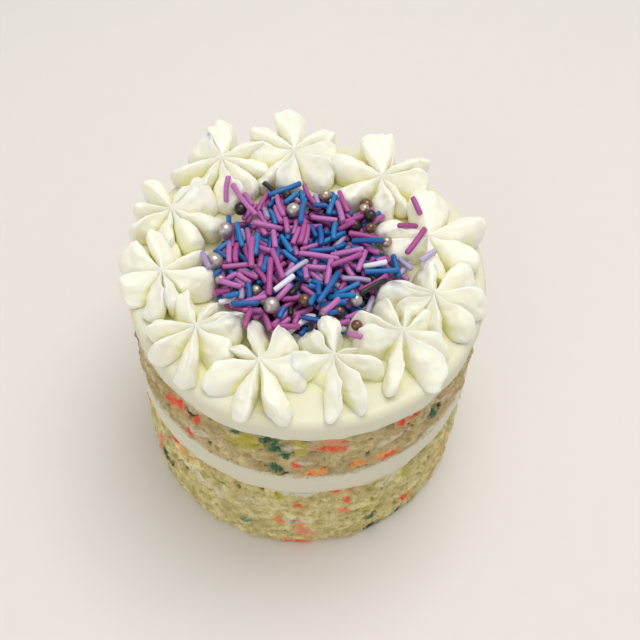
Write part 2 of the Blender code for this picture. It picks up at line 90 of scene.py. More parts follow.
# Courses of a petal's crest and of the groove beside it, from the flower's middle outwards and down
# to the icing: share of the way, share of the petal's length and share of its height
CREST = ((0.00, 0.00, 1.00), (0.12, 0.10, 0.94), (0.30, 0.32, 0.98), (0.50, 0.58, 1.04),
         (0.66, 0.80, 0.99), (0.80, 0.95, 0.74), (0.90, 1.00, 0.40), (1.00, 0.94, 0.00))
GROOVE = ((0.00, 0.00, 1.00), (0.12, 0.07, 0.82), (0.30, 0.16, 0.61), (0.50, 0.25, 0.40),
          (0.66, 0.32, 0.22), (0.80, 0.37, 0.10), (0.90, 0.40, 0.04), (1.00, 0.42, 0.00))
# The same crest where the nozzle was pulled off sharply and left a blunt end
BLUNT_CREST = ((0.00, 0.00, 1.00), (0.12, 0.10, 0.94), (0.30, 0.32, 0.98), (0.50, 0.60, 1.07),
               (0.64, 0.84, 1.08), (0.74, 0.97, 0.94), (0.86, 1.00, 0.50), (1.00, 0.95, 0.00))
# The same crest on a slender petal, which slopes down to a thin end
SLENDER_CREST = ((0.00, 0.00, 1.00), (0.12, 0.10, 0.95), (0.30, 0.32, 1.03), (0.50, 0.58, 1.02),
                 (0.66, 0.80, 0.84), (0.80, 0.95, 0.52), (0.90, 1.00, 0.26), (1.00, 0.96, 0.00))
# Length of a groove as a share of the petal's, and how much of the space between two grooves a
# petal fills: its share of it, and half of the angle in degrees that it spreads over at most
GROOVE_REACH = 0.42
LOBE_SHARE = 0.97
LOBE_HALF_ANGLE = 32.0
# Flowers whose petals are narrow blades, counted from 1, and how keen the blades are
KEEN_FLOWERS = {5: 0.6, 6: 0.9, 7: 1.0, 8: 0.8, 9: 0.5}
# Broad and narrow petals: flower and petal, counted from 1, and half of the angle that they spread over
PETAL_SPREADS = {(1, 4): 36, (2, 2): 40, (2, 4): 36, (3, 1): 34, (3, 2): 38, (3, 4): 40, (4, 1): 42,
                 (4, 2): 40, (4, 3): 40, (7, 2): 38, (8, 1): 30, (8, 6): 25, (10, 7): 36, (10, 3): 34,
                 (11, 3): 34, (6, 6): 16, (6, 7): 17, (7, 5): 13, (7, 6): 14, (8, 5): 22, (9, 7): 20,
                 (5, 7): 20}
# Where the ridge of some petals runs, from -1 at one side to 1 at the other
PETAL_RIDGES = {(6, 6): 0.45, (6, 7): 0.45, (7, 4): -0.40, (7, 5): 0.55, (7, 6): 0.50, (7, 7): 0.45,
                (8, 1): 0.40, (8, 5): 0.20, (8, 6): -0.50}
# Petals with a square upright end
SQUARE_PETALS = ((1, 3), (2, 3), (3, 3), (7, 2))
# Petals whose ends are torn: flower and petal, counted from 1
TORN_PETALS = ((3, 2), (3, 3), (7, 2), (7, 3), (2, 2))
# Points across a petal and along it
ACROSS_STEPS = 26
PETAL_ROWS = 46
SEED = 11

# Steps round the cake and height of a row of points on the crumb's side, and steps round the icing
CRUMB_STEPS = 900
CRUMB_ROW_HEIGHT = 0.00056
ICING_STEPS = 540

# Grid on which the hollows between the flowers are found: size of a cell and half of its width
MAP_CELL = 0.0006
MAP_HALF = 0.0804

# Heap of rods and pearls: where it lies, how far it and its core go, and how deep a rod sinks into
# what lies under it, as a share of its radius
HEAP_CENTRE = (0.0010, -0.0030)
HEAP_REACH = 0.0385
CORE_REACH = 0.0310
CORE_HEIGHT = 0.0012
LOOSE_RODS = 300
ROD_RADIUS = 0.00118
SINK = 0.30

# Rods that can be told apart, by colour: x and y in mm, direction in degrees, length in mm
PLACED_RODS = {
    "magenta": (
        (-35.8, 32.3, 83, 11.2), (-28, 25.3, 121, 19.4), (-26.6, 30.1, 112, 10.1), (-24.5, 30.2, 139, 7.5),
        (-21.3, 29.2, 70, 12.2), (-1.1, 34.7, 119, 13.2), (-12.9, 24.8, 101, 14.1), (-14.3, 20.4, 112, 10.9),
        (-17.6, 14, 174, 12.3), (-20.7, 18.7, 118, 7.5), (-24.4, 7.7, 101, 13.5), (-22.2, -3.2, 99, 15.4),
        (-32.5, -1.6, 90, 11.7), (-29.8, -1.4, 88, 11.8), (-25.4, -0.4, 102, 10.4), (-28.8, -8.3, 16, 11.6),
        (-23.8, -11.6, 160, 8.9), (-25.4, -14.2, 152, 6.1), (-30.3, -14.1, 40, 5.5), (-30.3, -18, 162, 9.7),
        (-37.5, -25.6, 83, 5.4), (-26.5, -16.5, 146, 5.3), (-33.1, -19.9, 170, 6.3), (-18.5, -21.9, 47, 8.1),
        (-19.4, -25.2, 27, 9.3), (-14, -14.6, 87, 17.2), (-17.7, -12.3, 129, 8.7), (-19.4, -4.2, 90, 9.3),
        (-11.4, -7.9, 116, 15.3), (-6.7, -6.5, 58, 6.6), (-8.1, -20.3, 49, 9), (-17.3, 1.8, 162, 7.3),
        (-14.2, 6.5, 94, 9.6), (-5.2, 2.9, 109, 5.9), (-9.2, 14.9, 97, 8.3), (-6.6, 15.5, 82, 7.5),
        (-5.9, 10, 80, 8.9), (-2.7, 11, 84, 13.2), (-0.7, 9.9, 86, 10.7), (5.2, 19.6, 168, 11.3),
        (12.9, 29.7, 105, 12.4), (11.7, 23.3, 109, 11.8), (18.4, 20.1, 25, 9.4), (15.9, 22.6, 137, 5.8),
        (15.7, 16.4, 12, 8.2), (0, 4.9, 30, 8.6), (22.4, 11.6, 175, 12.6), (26.2, 27.6, 91, 4),
        (44.3, 26, 111, 8.3), (39.7, 15.7, 30, 10.1), (43.7, 7.4, 54, 14.6), (4, -0.7, 168, 16.4),
        (16.3, 1.6, 8, 13.7), (16.2, -2.6, 29, 13.9), (22.3, -2.4, 75, 11.3), (3.7, -5.8, 4, 8.6),
        (8.3, -7.7, 89, 12), (14, -13.2, 64, 5.2), (27.3, -12.3, 34, 13.5), (26.7, 3.8, 140, 6.4),
        (31.9, 1.6, 116, 3.5), (26.3, 0.2, 49, 4.3), (29.2, 0, 29, 4.3), (16.9, -5.3, 125, 6.3),
        (-0.9, -10.2, 93, 6.4), (-37.3, -29.2, 110, 5.2), (-20.6, -30.2, 22, 7.9), (-20.9, -36.1, 86, 9.9),
        (-6.4, -34.3, 179, 10.4), (-3.5, -30.1, 80, 5.4), (10.3, -29.6, 57, 9.5), (15.2, -31.6, 24, 4.7),
        (20.1, -38.4, 168, 5.6), (23.7, -26.7, 53, 6.1)),
    "blue": (
        (-34.5, 19.4, 86, 7.5), (-11.8, 35.6, 36, 15.7), (-4.7, 33.2, 96, 8.7), (-4.1, 21.7, 91, 15.4),
        (-9.3, 30.6, 46, 7.2), (-16.1, 19.5, 110, 9.2), (-28.8, 9.3, 111, 13), (-35.4, -0.5, 143, 6),
        (-34.8, -13.1, 74, 4.8), (-37.5, -19.3, 93, 6.7), (-28, -21.7, 168, 5.8), (-22.2, -20.2, 94, 8),
        (-17.3, -5.9, 82, 9.4), (-15.9, -10.1, 89, 5.1), (-20.8, 3.2, 90, 11.4), (-15.8, 4.7, 92, 5.3),
        (-9.7, 4.7, 125, 10.3), (-12.4, 0.3, 90, 8), (-8, -1.1, 137, 7.4), (3.6, 27.2, 178, 5.9),
        (8.1, 27.3, 81, 11.4), (2, 14.7, 112, 6.6), (4.7, 10.3, 91, 10.6), (10.1, 13.1, 87, 8.8),
        (7.2, 14.3, 4, 4.4), (5.1, 4.1, 4, 10.5), (24.6, 7.9, 171, 13.9), (12.5, 8.2, 36, 5.5),
        (20.3, 5.7, 172, 5.5), (36.5, -1.3, 99, 10.7), (29.6, -5.6, 10, 14.2), (8.7, -16.6, 63, 19.7),
        (16.9, -16, 28, 11.3), (4.9, -11.4, 152, 5.2), (2.3, -14.3, 176, 4.2), (4.6, -17.9, 90, 8.1),
        (2.6, -22.3, 68, 7.6), (15, -21.1, 165, 11.7), (11.6, -24, 179, 11.2), (-23, -28.2, 11, 10.8),
        (-9.3, -29, 65, 5.4), (2.8, -30.5, 163, 8), (-0.2, -33.5, 63, 4.4), (-5, -37.2, 12, 3.8),
        (10.9, -31.9, 26, 4.4)),
    "lavender": (
        (-19.4, 21, 100, 8.5), (-40.8, -9.5, 109, 10.2), (-24.6, -20.9, 95, 5.2), (-4.5, -7.3, 51, 12.2),
        (48.3, 0.9, 38, 8.1), (20.5, -9.6, 179, 11.6), (39.4, 0.5, 135, 7.2)),
    "white": ((-8.7, -16.6, 39, 10.3), (27.7, -3, 8, 10)),
    "black": (
        (-17.5, 37.4, 144, 8.3), (-4.5, -17.2, 72, 8.7), (26, -16.2, 32, 13.1), (-5.3, -28.5, 99, 4.4),
        (3.4, -35.5, 89, 6), (12.5, -28.1, 155, 4.5)),
}
# Sugar pearls by colour: x, y and radius in mm
PEARLS = {
    "silver": ((-8.4, 23.9, 3.1), (-34.7, 11.5, 3.3), (-37.4, -5.7, 3.7), (-13.9, -27.0, 3.3),
               (18.9, -20.4, 2.7), (-33.0, -14.5, 2.0)),
    "champagne": ((23.3, 24.6, 2.2), (32.7, 8.3, 2.4), (-19.6, -19.1, 2.1), (7.7, -26.5, 2.5),
                  (4.7, 32.3, 2.6)),
    "bronze": ((22.8, 30.2, 2.7), (-1.2, -22.2, 2.6), (13.6, -27.0, 2.4), (24.0, 16.6, 2.2),
               (21.5, -33.0, 2.2)),
    "dark": ((25.9, 20.9, 2.7), (-28.5, 21.3, 2.8), (18.9, 15.9, 2.6), (-11.5, 31.6, 2.1),
             (-22.4, -32.8, 1.8)),
}

# Confetti that melted into the crumb: direction in degrees, height, half width and half height
# in mm, tilt in degrees and colour
CONFETTI = (
    (229.7, 95.0, 4.2, 2.4, -35, "red"), (226.0, 92.5, 2.6, 2.0, 0, "red"),
    (234.6, 93.8, 1.7, 2.6, 30, "ink"), (236.6, 90.6, 1.4, 1.6, 0, "red"),
    (233.2, 77.5, 1.3, 2.6, 20, "red"), (251.5, 99.2, 1.8, 1.2, 0, "green"),
    (263.0, 96.0, 3.4, 4.6, 35, "green"), (266.4, 88.6, 2.6, 2.2, 0, "green"),
    (261.3, 98.5, 2.0, 2.0, 0, "ink"), (263.6, 76.0, 2.9, 2.0, -15, "green"),
    (266.8, 73.4, 1.7, 1.2, 0, "ink"), (254.8, 93.4, 5.4, 3.8, 10, "olive"),
    (250.2, 90.0, 2.6, 2.4, 0, "olive"), (271.2, 94.6, 2.6, 4.0, 10, "olive"),
    (270.0, 79.4, 1.5, 1.2, 0, "red"), (276.4, 74.6, 4.2, 1.7, -4, "orange"),
    (275.0, 73.8, 1.8, 1.0, 0, "red"), (280.3, 92.4, 4.2, 1.6, -6, "red"),
    (281.6, 99.0, 3.8, 2.2, 0, "rose"), (284.0, 98.4, 1.4, 1.2, 0, "red"),
    (289.7, 76.0, 2.6, 2.0, 0, "orange"), (300.6, 73.4, 3.0, 1.8, 25, "red"),
    (298.6, 76.0, 3.0, 1.6, 10, "orange"), (303.5, 97.8, 1.5, 1.7, 0, "red"),
    (307.2, 99.2, 2.3, 1.9, 0, "red"), (316.4, 89.4, 2.0, 2.6, 10, "green"),
    (319.0, 90.0, 1.4, 1.4, 0, "ink"), (324.4, 91.0, 1.6, 1.6, 0, "red"),
    (227.6, 50.4, 4.8, 1.8, -24, "orange"), (224.0, 53.4, 2.0, 1.6, 0, "red"),
    (211.6, 31.5, 1.6, 2.8, 0, "red"), (214.4, 24.5, 2.2, 2.8, 0, "green"),
    (217.5, 20.0, 3.0, 1.0, -30, "ink"), (271.0, 40.0, 2.1, 1.7, 0, "red"),
    (264.4, 26.0, 2.2, 1.6, 0, "coral"), (270.0, 26.4, 1.7, 1.3, 0, "ink"),
    (271.6, 23.0, 2.4, 2.4, 0, "coral"), (273.0, 13.4, 3.2, 3.8, 0, "rose"),
    (271.6, 2.0, 5.0, 1.3, 0, "red"), (287.4, 42.6, 1.4, 1.8, 10, "red"),
    (287.0, 32.6, 2.0, 2.4, 20, "coral"), (283.6, 52.4, 2.2, 1.1, -10, "red"),
    (290.8, 53.4, 3.8, 1.2, 6, "coral"), (297.6, 15.4, 2.2, 2.2, 0, "green"),
    (298.8, 3.2, 3.6, 2.8, -10, "ink"), (309.0, 2.6, 4.2, 1.1, 0, "ink"),
    (313.0, 14.8, 1.5, 2.8, 30, "red"), (331.6, 27.6, 2.0, 3.2, 20, "coral"),
    (334.2, 38.0, 1.2, 3.8, 0, "coral"), (252.6, 18.2, 2.6, 1.9, 0, "sea"),
    (265.0, 51.2, 2.3, 1.0, 0, "olive"), (309.6, 46.4, 2.0, 2.8, 0, "olive"),
    (295.4, 27.6, 2.4, 2.6, 0, "olive"), (206.0, 98.0, 2.2, 1.8, 0, "green"),
    (201.8, 92.0, 1.2, 2.4, 0, "ink"), (342.0, 84.0, 2.4, 1.4, 0, "olive"),
    (346.0, 40.0, 2.0, 1.6, 0, "green"),
)
CONFETTI_COLOURS = {
    "red": (0.86, 0.070, 0.032), "green": (0.012, 0.120, 0.050), "ink": (0.014, 0.020, 0.013),
    "olive": (0.46, 0.42, 0.040), "orange": (0.90, 0.36, 0.100), "coral": (0.86, 0.24, 0.120),
    "rose": (0.78, 0.27, 0.150), "sea": (0.12, 0.24, 0.18),
}

# Colours of crumbs that stick to the icing and of icing that is smeared on the crumb
CRUMB_TRACE = (0.50, 0.41, 0.22)
SMEARED_CREAM = (0.74, 0.70, 0.58)
# Two shades of each pearl's coat, how metallic it is and how rough
PEARL_COATS = {
    "silver": ((0.46, 0.42, 0.39), (0.56, 0.52, 0.49), 0.75, 0.26),
    "champagne": ((0.46, 0.34, 0.25), (0.58, 0.46, 0.36), 0.75, 0.22),
    "bronze": ((0.16, 0.085, 0.055), (0.24, 0.13, 0.085), 0.70, 0.22),
    "dark": ((0.030, 0.022, 0.022), (0.060, 0.045, 0.042), 0.60, 0.20),
}
# Two shades of each rod's coat and how rough it is
ROD_COATS = {
    "magenta": ((0.38, 0.058, 0.26), (0.48, 0.155, 0.44), 0.34),
    "blue": ((0.005, 0.090, 0.34), (0.008, 0.195, 0.50), 0.34),
    "lavender": ((0.34, 0.26, 0.46), (0.52, 0.46, 0.66), 0.34),
    "white": ((0.74, 0.74, 0.84), (0.86, 0.86, 0.92), 0.34),
    "black": ((0.006, 0.005, 0.006), (0.014, 0.012, 0.012), 0.28),
}


def area_light(name, place, target, size, power, colour):
    """A square lamp that faces its target."""
    lamp = bpy.data.lights.new(name, "AREA")
    lamp.shape = "SQUARE"
    lamp.size = size
    lamp.energy = power
    lamp.color = colour
    holder = bpy.data.objects.new(name, lamp)
    bpy.context.scene.collection.objects.link(holder)
    holder.location = place
    holder.rotation_euler = (Vector(target) - Vector(place)).to_track_quat("-Z", "Y").to_euler()


def camera_and_light():
    """Camera at the photograph's angle, soft studio light from above and a pale floor."""
    data = bpy.data.cameras.new("camera")
    data.sensor_width = 36.0
    data.lens = 53.44
    data.clip_start = 0.02
    camera = bpy.data.objects.new("camera", data)
    bpy.context.scene.collection.objects.link(camera)
    place, tilt, roll = (0.0063, -0.2431, 0.4227), math.radians(35.1), math.radians(3.2)
    look = Euler((tilt, 0.0, 0.0)).to_matrix().to_4x4() @ Matrix.Rotation(roll, 4, "Z")
    camera.matrix_world = Matrix.Translation(place) @ look
    bpy.context.scene.camera = camera

    area_light("key_light", (0.14, 0.16, 1.00), (0.0, 0.0, 0.08), 0.55, 4.8, (1.0, 0.985, 0.955))
    area_light("front_light", (-0.50, -0.85, 0.55), (0.0, 0.0, 0.05), 0.70, 1.6, (1.0, 0.985, 0.96))
    world = bpy.data.worlds.new("studio")
    world.use_nodes = True
    backdrop = world.node_tree.nodes["Background"].inputs
    backdrop["Color"].default_value = (1.0, 0.985, 0.965, 1.0)
    backdrop["Strength"].default_value = 0.62
    bpy.context.scene.world = world
    bpy.context.scene.view_settings.view_transform = "Standard"

    bpy.ops.object.select_all(action="DESELECT")
    bpy.ops.mesh.primitive_plane_add(size=6.0, location=(0.0, 0.0, -0.0002))
    floor = bpy.context.object
    floor.name = "floor"
    finish = Finish("pale_floor", roughness=0.7)
    grain = finish.noise(14.0, 3.0)
    finish.set("Base Color", finish.mix(grain, (0.78, 0.745, 0.715), (0.80, 0.765, 0.735)))
    floor.data.materials.append(finish.material)


class Number:
    """A shader socket that takes part in Python sums."""

    def __init__(self, finish, socket):
        self.finish = finish
        self.socket = socket

    def sum(self, operation, first, second):
        return self.finish.node("ShaderNodeMath", {"operation": operation}, {0: first, 1: second})

    def __add__(self, other):
        return self.sum("ADD", self, other)

    def __radd__(self, other):
        return self.sum("ADD", other, self)

    def __sub__(self, other):
        return self.sum("SUBTRACT", self, other)

    def __rsub__(self, other):
        return self.sum("SUBTRACT", other, self)

    def __mul__(self, other):
        return self.sum("MULTIPLY", self, other)

    def __rmul__(self, other):
        return self.sum("MULTIPLY", other, self)

class Finish:
    """A Principled material whose nodes are made by short calls."""

    def __init__(self, name, **uniform):
        self.material = bpy.data.materials.new(name)
        self.material.use_nodes = True
        self.tree = self.material.node_tree
        self.shader = self.tree.nodes["Principled BSDF"]
        for key, value in uniform.items():
            self.set(key.replace("_", " ").title(), value)

    def put(self, socket, value):
        """Link a number's socket, or set a plain value."""
        if isinstance(value, Number):
            self.tree.links.new(value.socket, socket)
        elif hasattr(value, "__len__") and socket.type == "RGBA" and len(value) == 3:
            socket.default_value = (*value, 1.0)
        else:
            socket.default_value = value

    def set(self, name, value):
        self.put(self.shader.inputs[name], value)

    def node(self, kind, settings, values, output=0):
        made = self.tree.nodes.new(kind)
        for key, value in settings.items():
            setattr(made, key, value)
        for key, value in values.items():
            self.put(made.inputs[key], value)
        return Number(self, made.outputs[output])

    def mix(self, share, first, second):
        return self.node("ShaderNodeMix", {"data_type": "RGBA"}, {0: share, 6: first, 7: second}, 2)

    def noise(self, size_mm, detail=2.0, roughness=0.5):
        """Noise from 0 to 1 whose lumps are about size_mm across."""
        place = self.node("ShaderNodeTexCoord", {}, {}, 3)
        return self.node("ShaderNodeTexNoise", {}, {"Vector": place, "Scale": 1000.0 / size_mm,
                                                    "Detail": detail, "Roughness": roughness})

    def ramp(self, value, low, high):
        """0 at low, 1 at high, smooth between them."""
        return self.node("ShaderNodeMapRange", {"interpolation_type": "SMOOTHSTEP"},
                         {0: value, 1: low, 2: high, 3: 0.0, 4: 1.0})

    def attribute(self, name, output=2):
        return self.node("ShaderNodeAttribute", {"attribute_name": name}, {}, output)

    def bump(self, height, strength, distance_mm):
        self.set("Normal", self.node("ShaderNodeBump", {}, {"Height": height, "Strength": strength,
                                                            "Distance": distance_mm * MM}))


def buttercream(name, ivory, shadow):
    """Whipped ivory buttercream with painted shade: its hollows get a yellower colour that stands in for the
    light that bounces and scatters in them.
    """
    finish = Finish(name, subsurface_weight=0.55, subsurface_scale=0.006)
    finish.set("Subsurface Radius", (1.0, 0.85, 0.45))
    hollow_shade = finish.attribute("hollow_shade")
    cloud = finish.noise(9.0, 2.0)
    grain = finish.noise(0.9, 3.0, 0.6)
    # Painted shade: the cream is mixed towards the shadow colour where it lies deep in a hollow.
    depth = finish.ramp(hollow_shade + (cloud - 0.5) * 0.25, 0.10, 0.95)
    crumbs = finish.attribute("crumbs") + finish.noise(1.6, 3.0, 0.6) + (grain - 0.5) * 0.5
    icing = finish.mix(depth, ivory, shadow)
    traces = finish.ramp(crumbs, 1.28, 1.55) * 0.75
    finish.set("Base Color", finish.mix(traces, icing, CRUMB_TRACE))
    finish.set("Roughness", 0.40 + 0.16 * grain)
    finish.bump(grain + 2.0 * finish.noise(3.2, 2.0), 0.22, 0.25)
    return finish.material


def sponge(name, dark, brown, middle, pale):
    """Bare vanilla crumb with melted confetti and thin smears of buttercream."""
    finish = Finish(name, subsurface_weight=0.12, subsurface_scale=0.002)
    fine = finish.noise(1.1, 3.0, 0.6)
    speck = finish.noise(2.3, 3.0, 0.6)
    patch = finish.noise(4.6, 3.0, 0.5)
    cloud = finish.noise(14.0, 2.0)
    fleck = finish.noise(1.8, 2.0)
    crumbs = patch + (speck - 0.5) * 0.5 + (fine - 0.5) * 0.3
    base = finish.mix(finish.ramp(crumbs, 0.26, 0.78), middle, pale)
    base = finish.mix(finish.ramp(cloud + (patch - 0.5) * 0.6, 0.42, 0.70) * 0.50, base, brown)
    base = finish.mix(finish.ramp(speck + (fine - 0.5) * 0.7, 0.56, 0.82) * 0.55, base, dark)
    base = finish.mix(finish.ramp(fleck + (patch - 0.5) * 0.5, 0.55, 0.85) * 0.22, base, pale)
    # Painted shade: the crumb is darkened where it lies deep in a pit.
    base = finish.mix(finish.ramp(finish.attribute("pit") + (0.5 - fine) * 0.5, 0.20, 1.0) * 0.85, base, dark)
    stain = finish.attribute("stain", 0)
    strength = finish.attribute("stain_strength")
    base = finish.mix(finish.ramp(strength + (patch - 0.5) * 0.5, 0.10, 0.95) * 0.50, base, stain)
    dots = strength + (fine - 0.5) * 1.7 + (speck - 0.5) * 1.9
    base = finish.mix(finish.ramp(dots, 0.42, 0.92) * 0.90, base, stain)
    smear = finish.ramp(finish.attribute("smear") + (fine - 0.5) * 0.5 + (speck - 0.5) * 0.5, 0.35, 0.75)
    finish.set("Base Color", finish.mix(smear * 0.80, base, SMEARED_CREAM))
    finish.set("Roughness", 0.88 - 0.3 * smear)
    finish.bump(0.5 * fine + 1.6 * speck + 0.8 * fleck + 2.4 * patch, 0.60, 0.60)
    return finish.material


def sugar(name, one, other, roughness):
    """A coloured sugar coat whose shade differs from piece to piece."""
    finish = Finish(name, subsurface_weight=0.08, subsurface_scale=0.0015)
    cloud = finish.noise(1.3, 3.0, 0.6)
    tone = finish.attribute("tone")
    colour = finish.mix(finish.ramp(tone + (cloud - 0.5) * 0.5, 0.0, 1.0), one, other)
    finish.set("Base Color", colour)
    finish.set("Roughness", roughness + 0.22 * cloud)
    finish.bump(cloud + 0.6 * finish.noise(0.4, 2.0), 0.30, 0.10)
    return finish.material


def lustre(name, one, other, metallic, roughness):
    """A pearl's lustre coat, worn a little unevenly."""
    finish = Finish(name, metallic=metallic)
    cloud = finish.noise(1.8, 4.0, 0.6)
    finish.set("Base Color", finish.mix(finish.ramp(cloud, 0.30, 0.70), one, other))
    finish.set("Roughness", roughness + 0.16 * cloud)
    finish.bump(finish.noise(0.6, 3.0), 0.20, 0.10)
    return finish.material


def chance(ix, iy, iz, salt):
    """A repeatable value from 0 to 1 for each point of a lattice."""
    mixed = (ix * 73856093) ^ (iy * 19349663) ^ (iz * 83492791) ^ (salt * 265443576)
    mixed = (mixed ^ (mixed >> 13)) * 1274126177
    return ((mixed ^ (mixed >> 16)) & 0xFFFF) / 65535.0


def soft_noise(points, size, salt):
    """Smooth noise from -1 to 1 whose lumps are about size across."""
    scaled = points / size
    low = np.floor(scaled).astype(np.int64)
    part = scaled - low
    part = part * part * (3.0 - 2.0 * part)
    total = np.zeros(points.shape[:-1])
    for corner in range(8):
        step = np.array([corner & 1, corner >> 1 & 1, corner >> 2 & 1])
        weight = np.prod(np.where(step == 1, part, 1.0 - part), axis=-1)
        at = low + step
        total += weight * chance(at[..., 0], at[..., 1], at[..., 2], salt)
    return 2.0 * total - 1.0


def noise_vector(points, size, salt):
    """Smooth noise with a value of its own for each axis."""
    return np.stack([soft_noise(points, size, salt + axis) for axis in range(3)], axis=-1)


def grain_noise(points, size, salt):
    """Distance to the nearest of scattered points and that point's own value."""
    scaled = points / size
    low = np.floor(scaled).astype(np.int64)
    best = np.full(points.shape[:-1], 9.0)
    own = np.zeros(points.shape[:-1])
    for dx in (-1, 0, 1):
        for dy in (-1, 0, 1):
            for dz in (-1, 0, 1):
                x, y, z = low[..., 0] + dx, low[..., 1] + dy, low[..., 2] + dz
                away = ((x + chance(x, y, z, salt) - scaled[..., 0]) ** 2
                        + (y + chance(x, y, z, salt + 1) - scaled[..., 1]) ** 2
                        + (z + chance(x, y, z, salt + 2) - scaled[..., 2]) ** 2)
                nearer = away < best
                best = np.where(nearer, away, best)
                own = np.where(nearer, chance(x, y, z, salt + 3), own)
    return np.sqrt(best), own


def smooth_step(value, low, high):
    """0 at low, 1 at high, smooth between them."""
    share = np.clip((value - low) / (high - low), 0.0, 1.0)
    return share * share * (3.0 - 2.0 * share)


def points_of(piece):
    """A piece's points as an array."""
    flat = np.empty(len(piece.data.vertices) * 3, np.float32)
    piece.data.vertices.foreach_get("co", flat)
    return flat.reshape(-1, 3).astype(float)


def move_points(piece, points):
    """Put a piece's points where an array says."""
    piece.data.vertices.foreach_set("co", np.ascontiguousarray(points, np.float32).ravel())
    piece.data.update()


def moulded(name, places):
    """A skin over places[ring, step] that closes on itself; its first and last rings are single points."""
    rings, steps = places.shape[:2]
    bpy.ops.object.select_all(action="DESELECT")
    bpy.ops.mesh.primitive_grid_add(x_subdivisions=steps, y_subdivisions=rings - 1, size=2.0)
    piece = bpy.context.object
    piece.name = piece.data.name = name
    flat = points_of(piece)
    step = np.rint((flat[:, 0] + 1.0) / 2.0 * steps).astype(int) % steps
    ring = np.rint((1.0 - flat[:, 1]) / 2.0 * (rings - 1)).astype(int)
    move_points(piece, places[ring, step])
    bpy.ops.object.mode_set(mode="EDIT")
    bpy.ops.mesh.select_all(action="SELECT")
    bpy.ops.mesh.remove_doubles(threshold=1e-7)
    bpy.ops.mesh.normals_make_consistent(inside=False)
    bpy.ops.object.mode_set(mode="OBJECT")
    return piece


def soften(piece, share, times):
    """Smooth a piece a little."""
    bpy.context.view_layer.objects.active = piece
    smooth = piece.modifiers.new("soften", "SMOOTH")
    smooth.factor = share
    smooth.iterations = times
    bpy.ops.object.modifier_apply(modifier=smooth.name)


def write_values(piece, name, values):
    """Keep one number or colour for each point of a piece."""
    if values.ndim == 1:
        kept = piece.data.attributes.new(name, "FLOAT", "POINT")
        kept.data.foreach_set("value", np.ascontiguousarray(values, np.float32))
    else:
        kept = piece.data.attributes.new(name, "FLOAT_COLOR", "POINT")
        full = np.concatenate([values, np.ones((len(values), 1))], axis=1)
        kept.data.foreach_set("color", np.ascontiguousarray(full, np.float32).ravel())


def settle_in(piece, look, slot, *nodes):
    """Give a piece its look and let it stand for its solids."""
    piece.data.materials.clear()
    piece.data.materials.append(look)
    piece.data.shade_smooth()
    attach(piece, "root")
    for node in nodes:
        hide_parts(node)


def round_angles(steps):
    """Angles of evenly spread steps round the cake."""
    return np.arange(steps) / steps * math.tau


def lay_round(radius, height, angle):
    """Points on a round side; the radius and the height may each be one number."""
    along = np.broadcast_arrays(radius * np.cos(angle), radius * np.sin(angle), height)
    return np.stack(along, axis=-1)


def point_ring(place, steps):
    """A ring of steps that are all one point, where a skin closes."""
    return np.tile(np.array(place, float), (steps, 1))


def crumb_relief(flat, salt):
    """How far lumps stand out of a crumb layer's side and how far pits and knife drags go in."""
    lumps, own = grain_noise(flat, 0.0058, salt)
    small, own_small = grain_noise(flat, 0.0026, salt + 10)
    drag = soft_noise(flat * np.array([0.35, 0.35, 1.6]), 0.0036, salt + 20)
    pitted = soft_noise(flat, 0.0036, salt + 30) + 0.4 * soft_noise(flat, 0.0016, salt + 31)
    holes = smooth_step(pitted, 0.42, 0.90)
    ledge = smooth_step(soft_noise(flat * np.array([0.5, 0.5, 1.5]), 0.0068, salt + 32), 0.10, 0.34)
    scraped = smooth_step(soft_noise(flat, 0.016, salt + 33), -0.45, 0.45)
    rough = 0.60 + 0.40 * scraped
    relief = ((0.42 - lumps) * 0.0017 + (0.4 - small) * 0.0009 + (own - 0.5) * 0.0012) * rough
    relief += drag * 0.0006 - holes * 0.0016 - ledge * 0.0009 + (own_small - 0.5) * 0.0005
    return relief


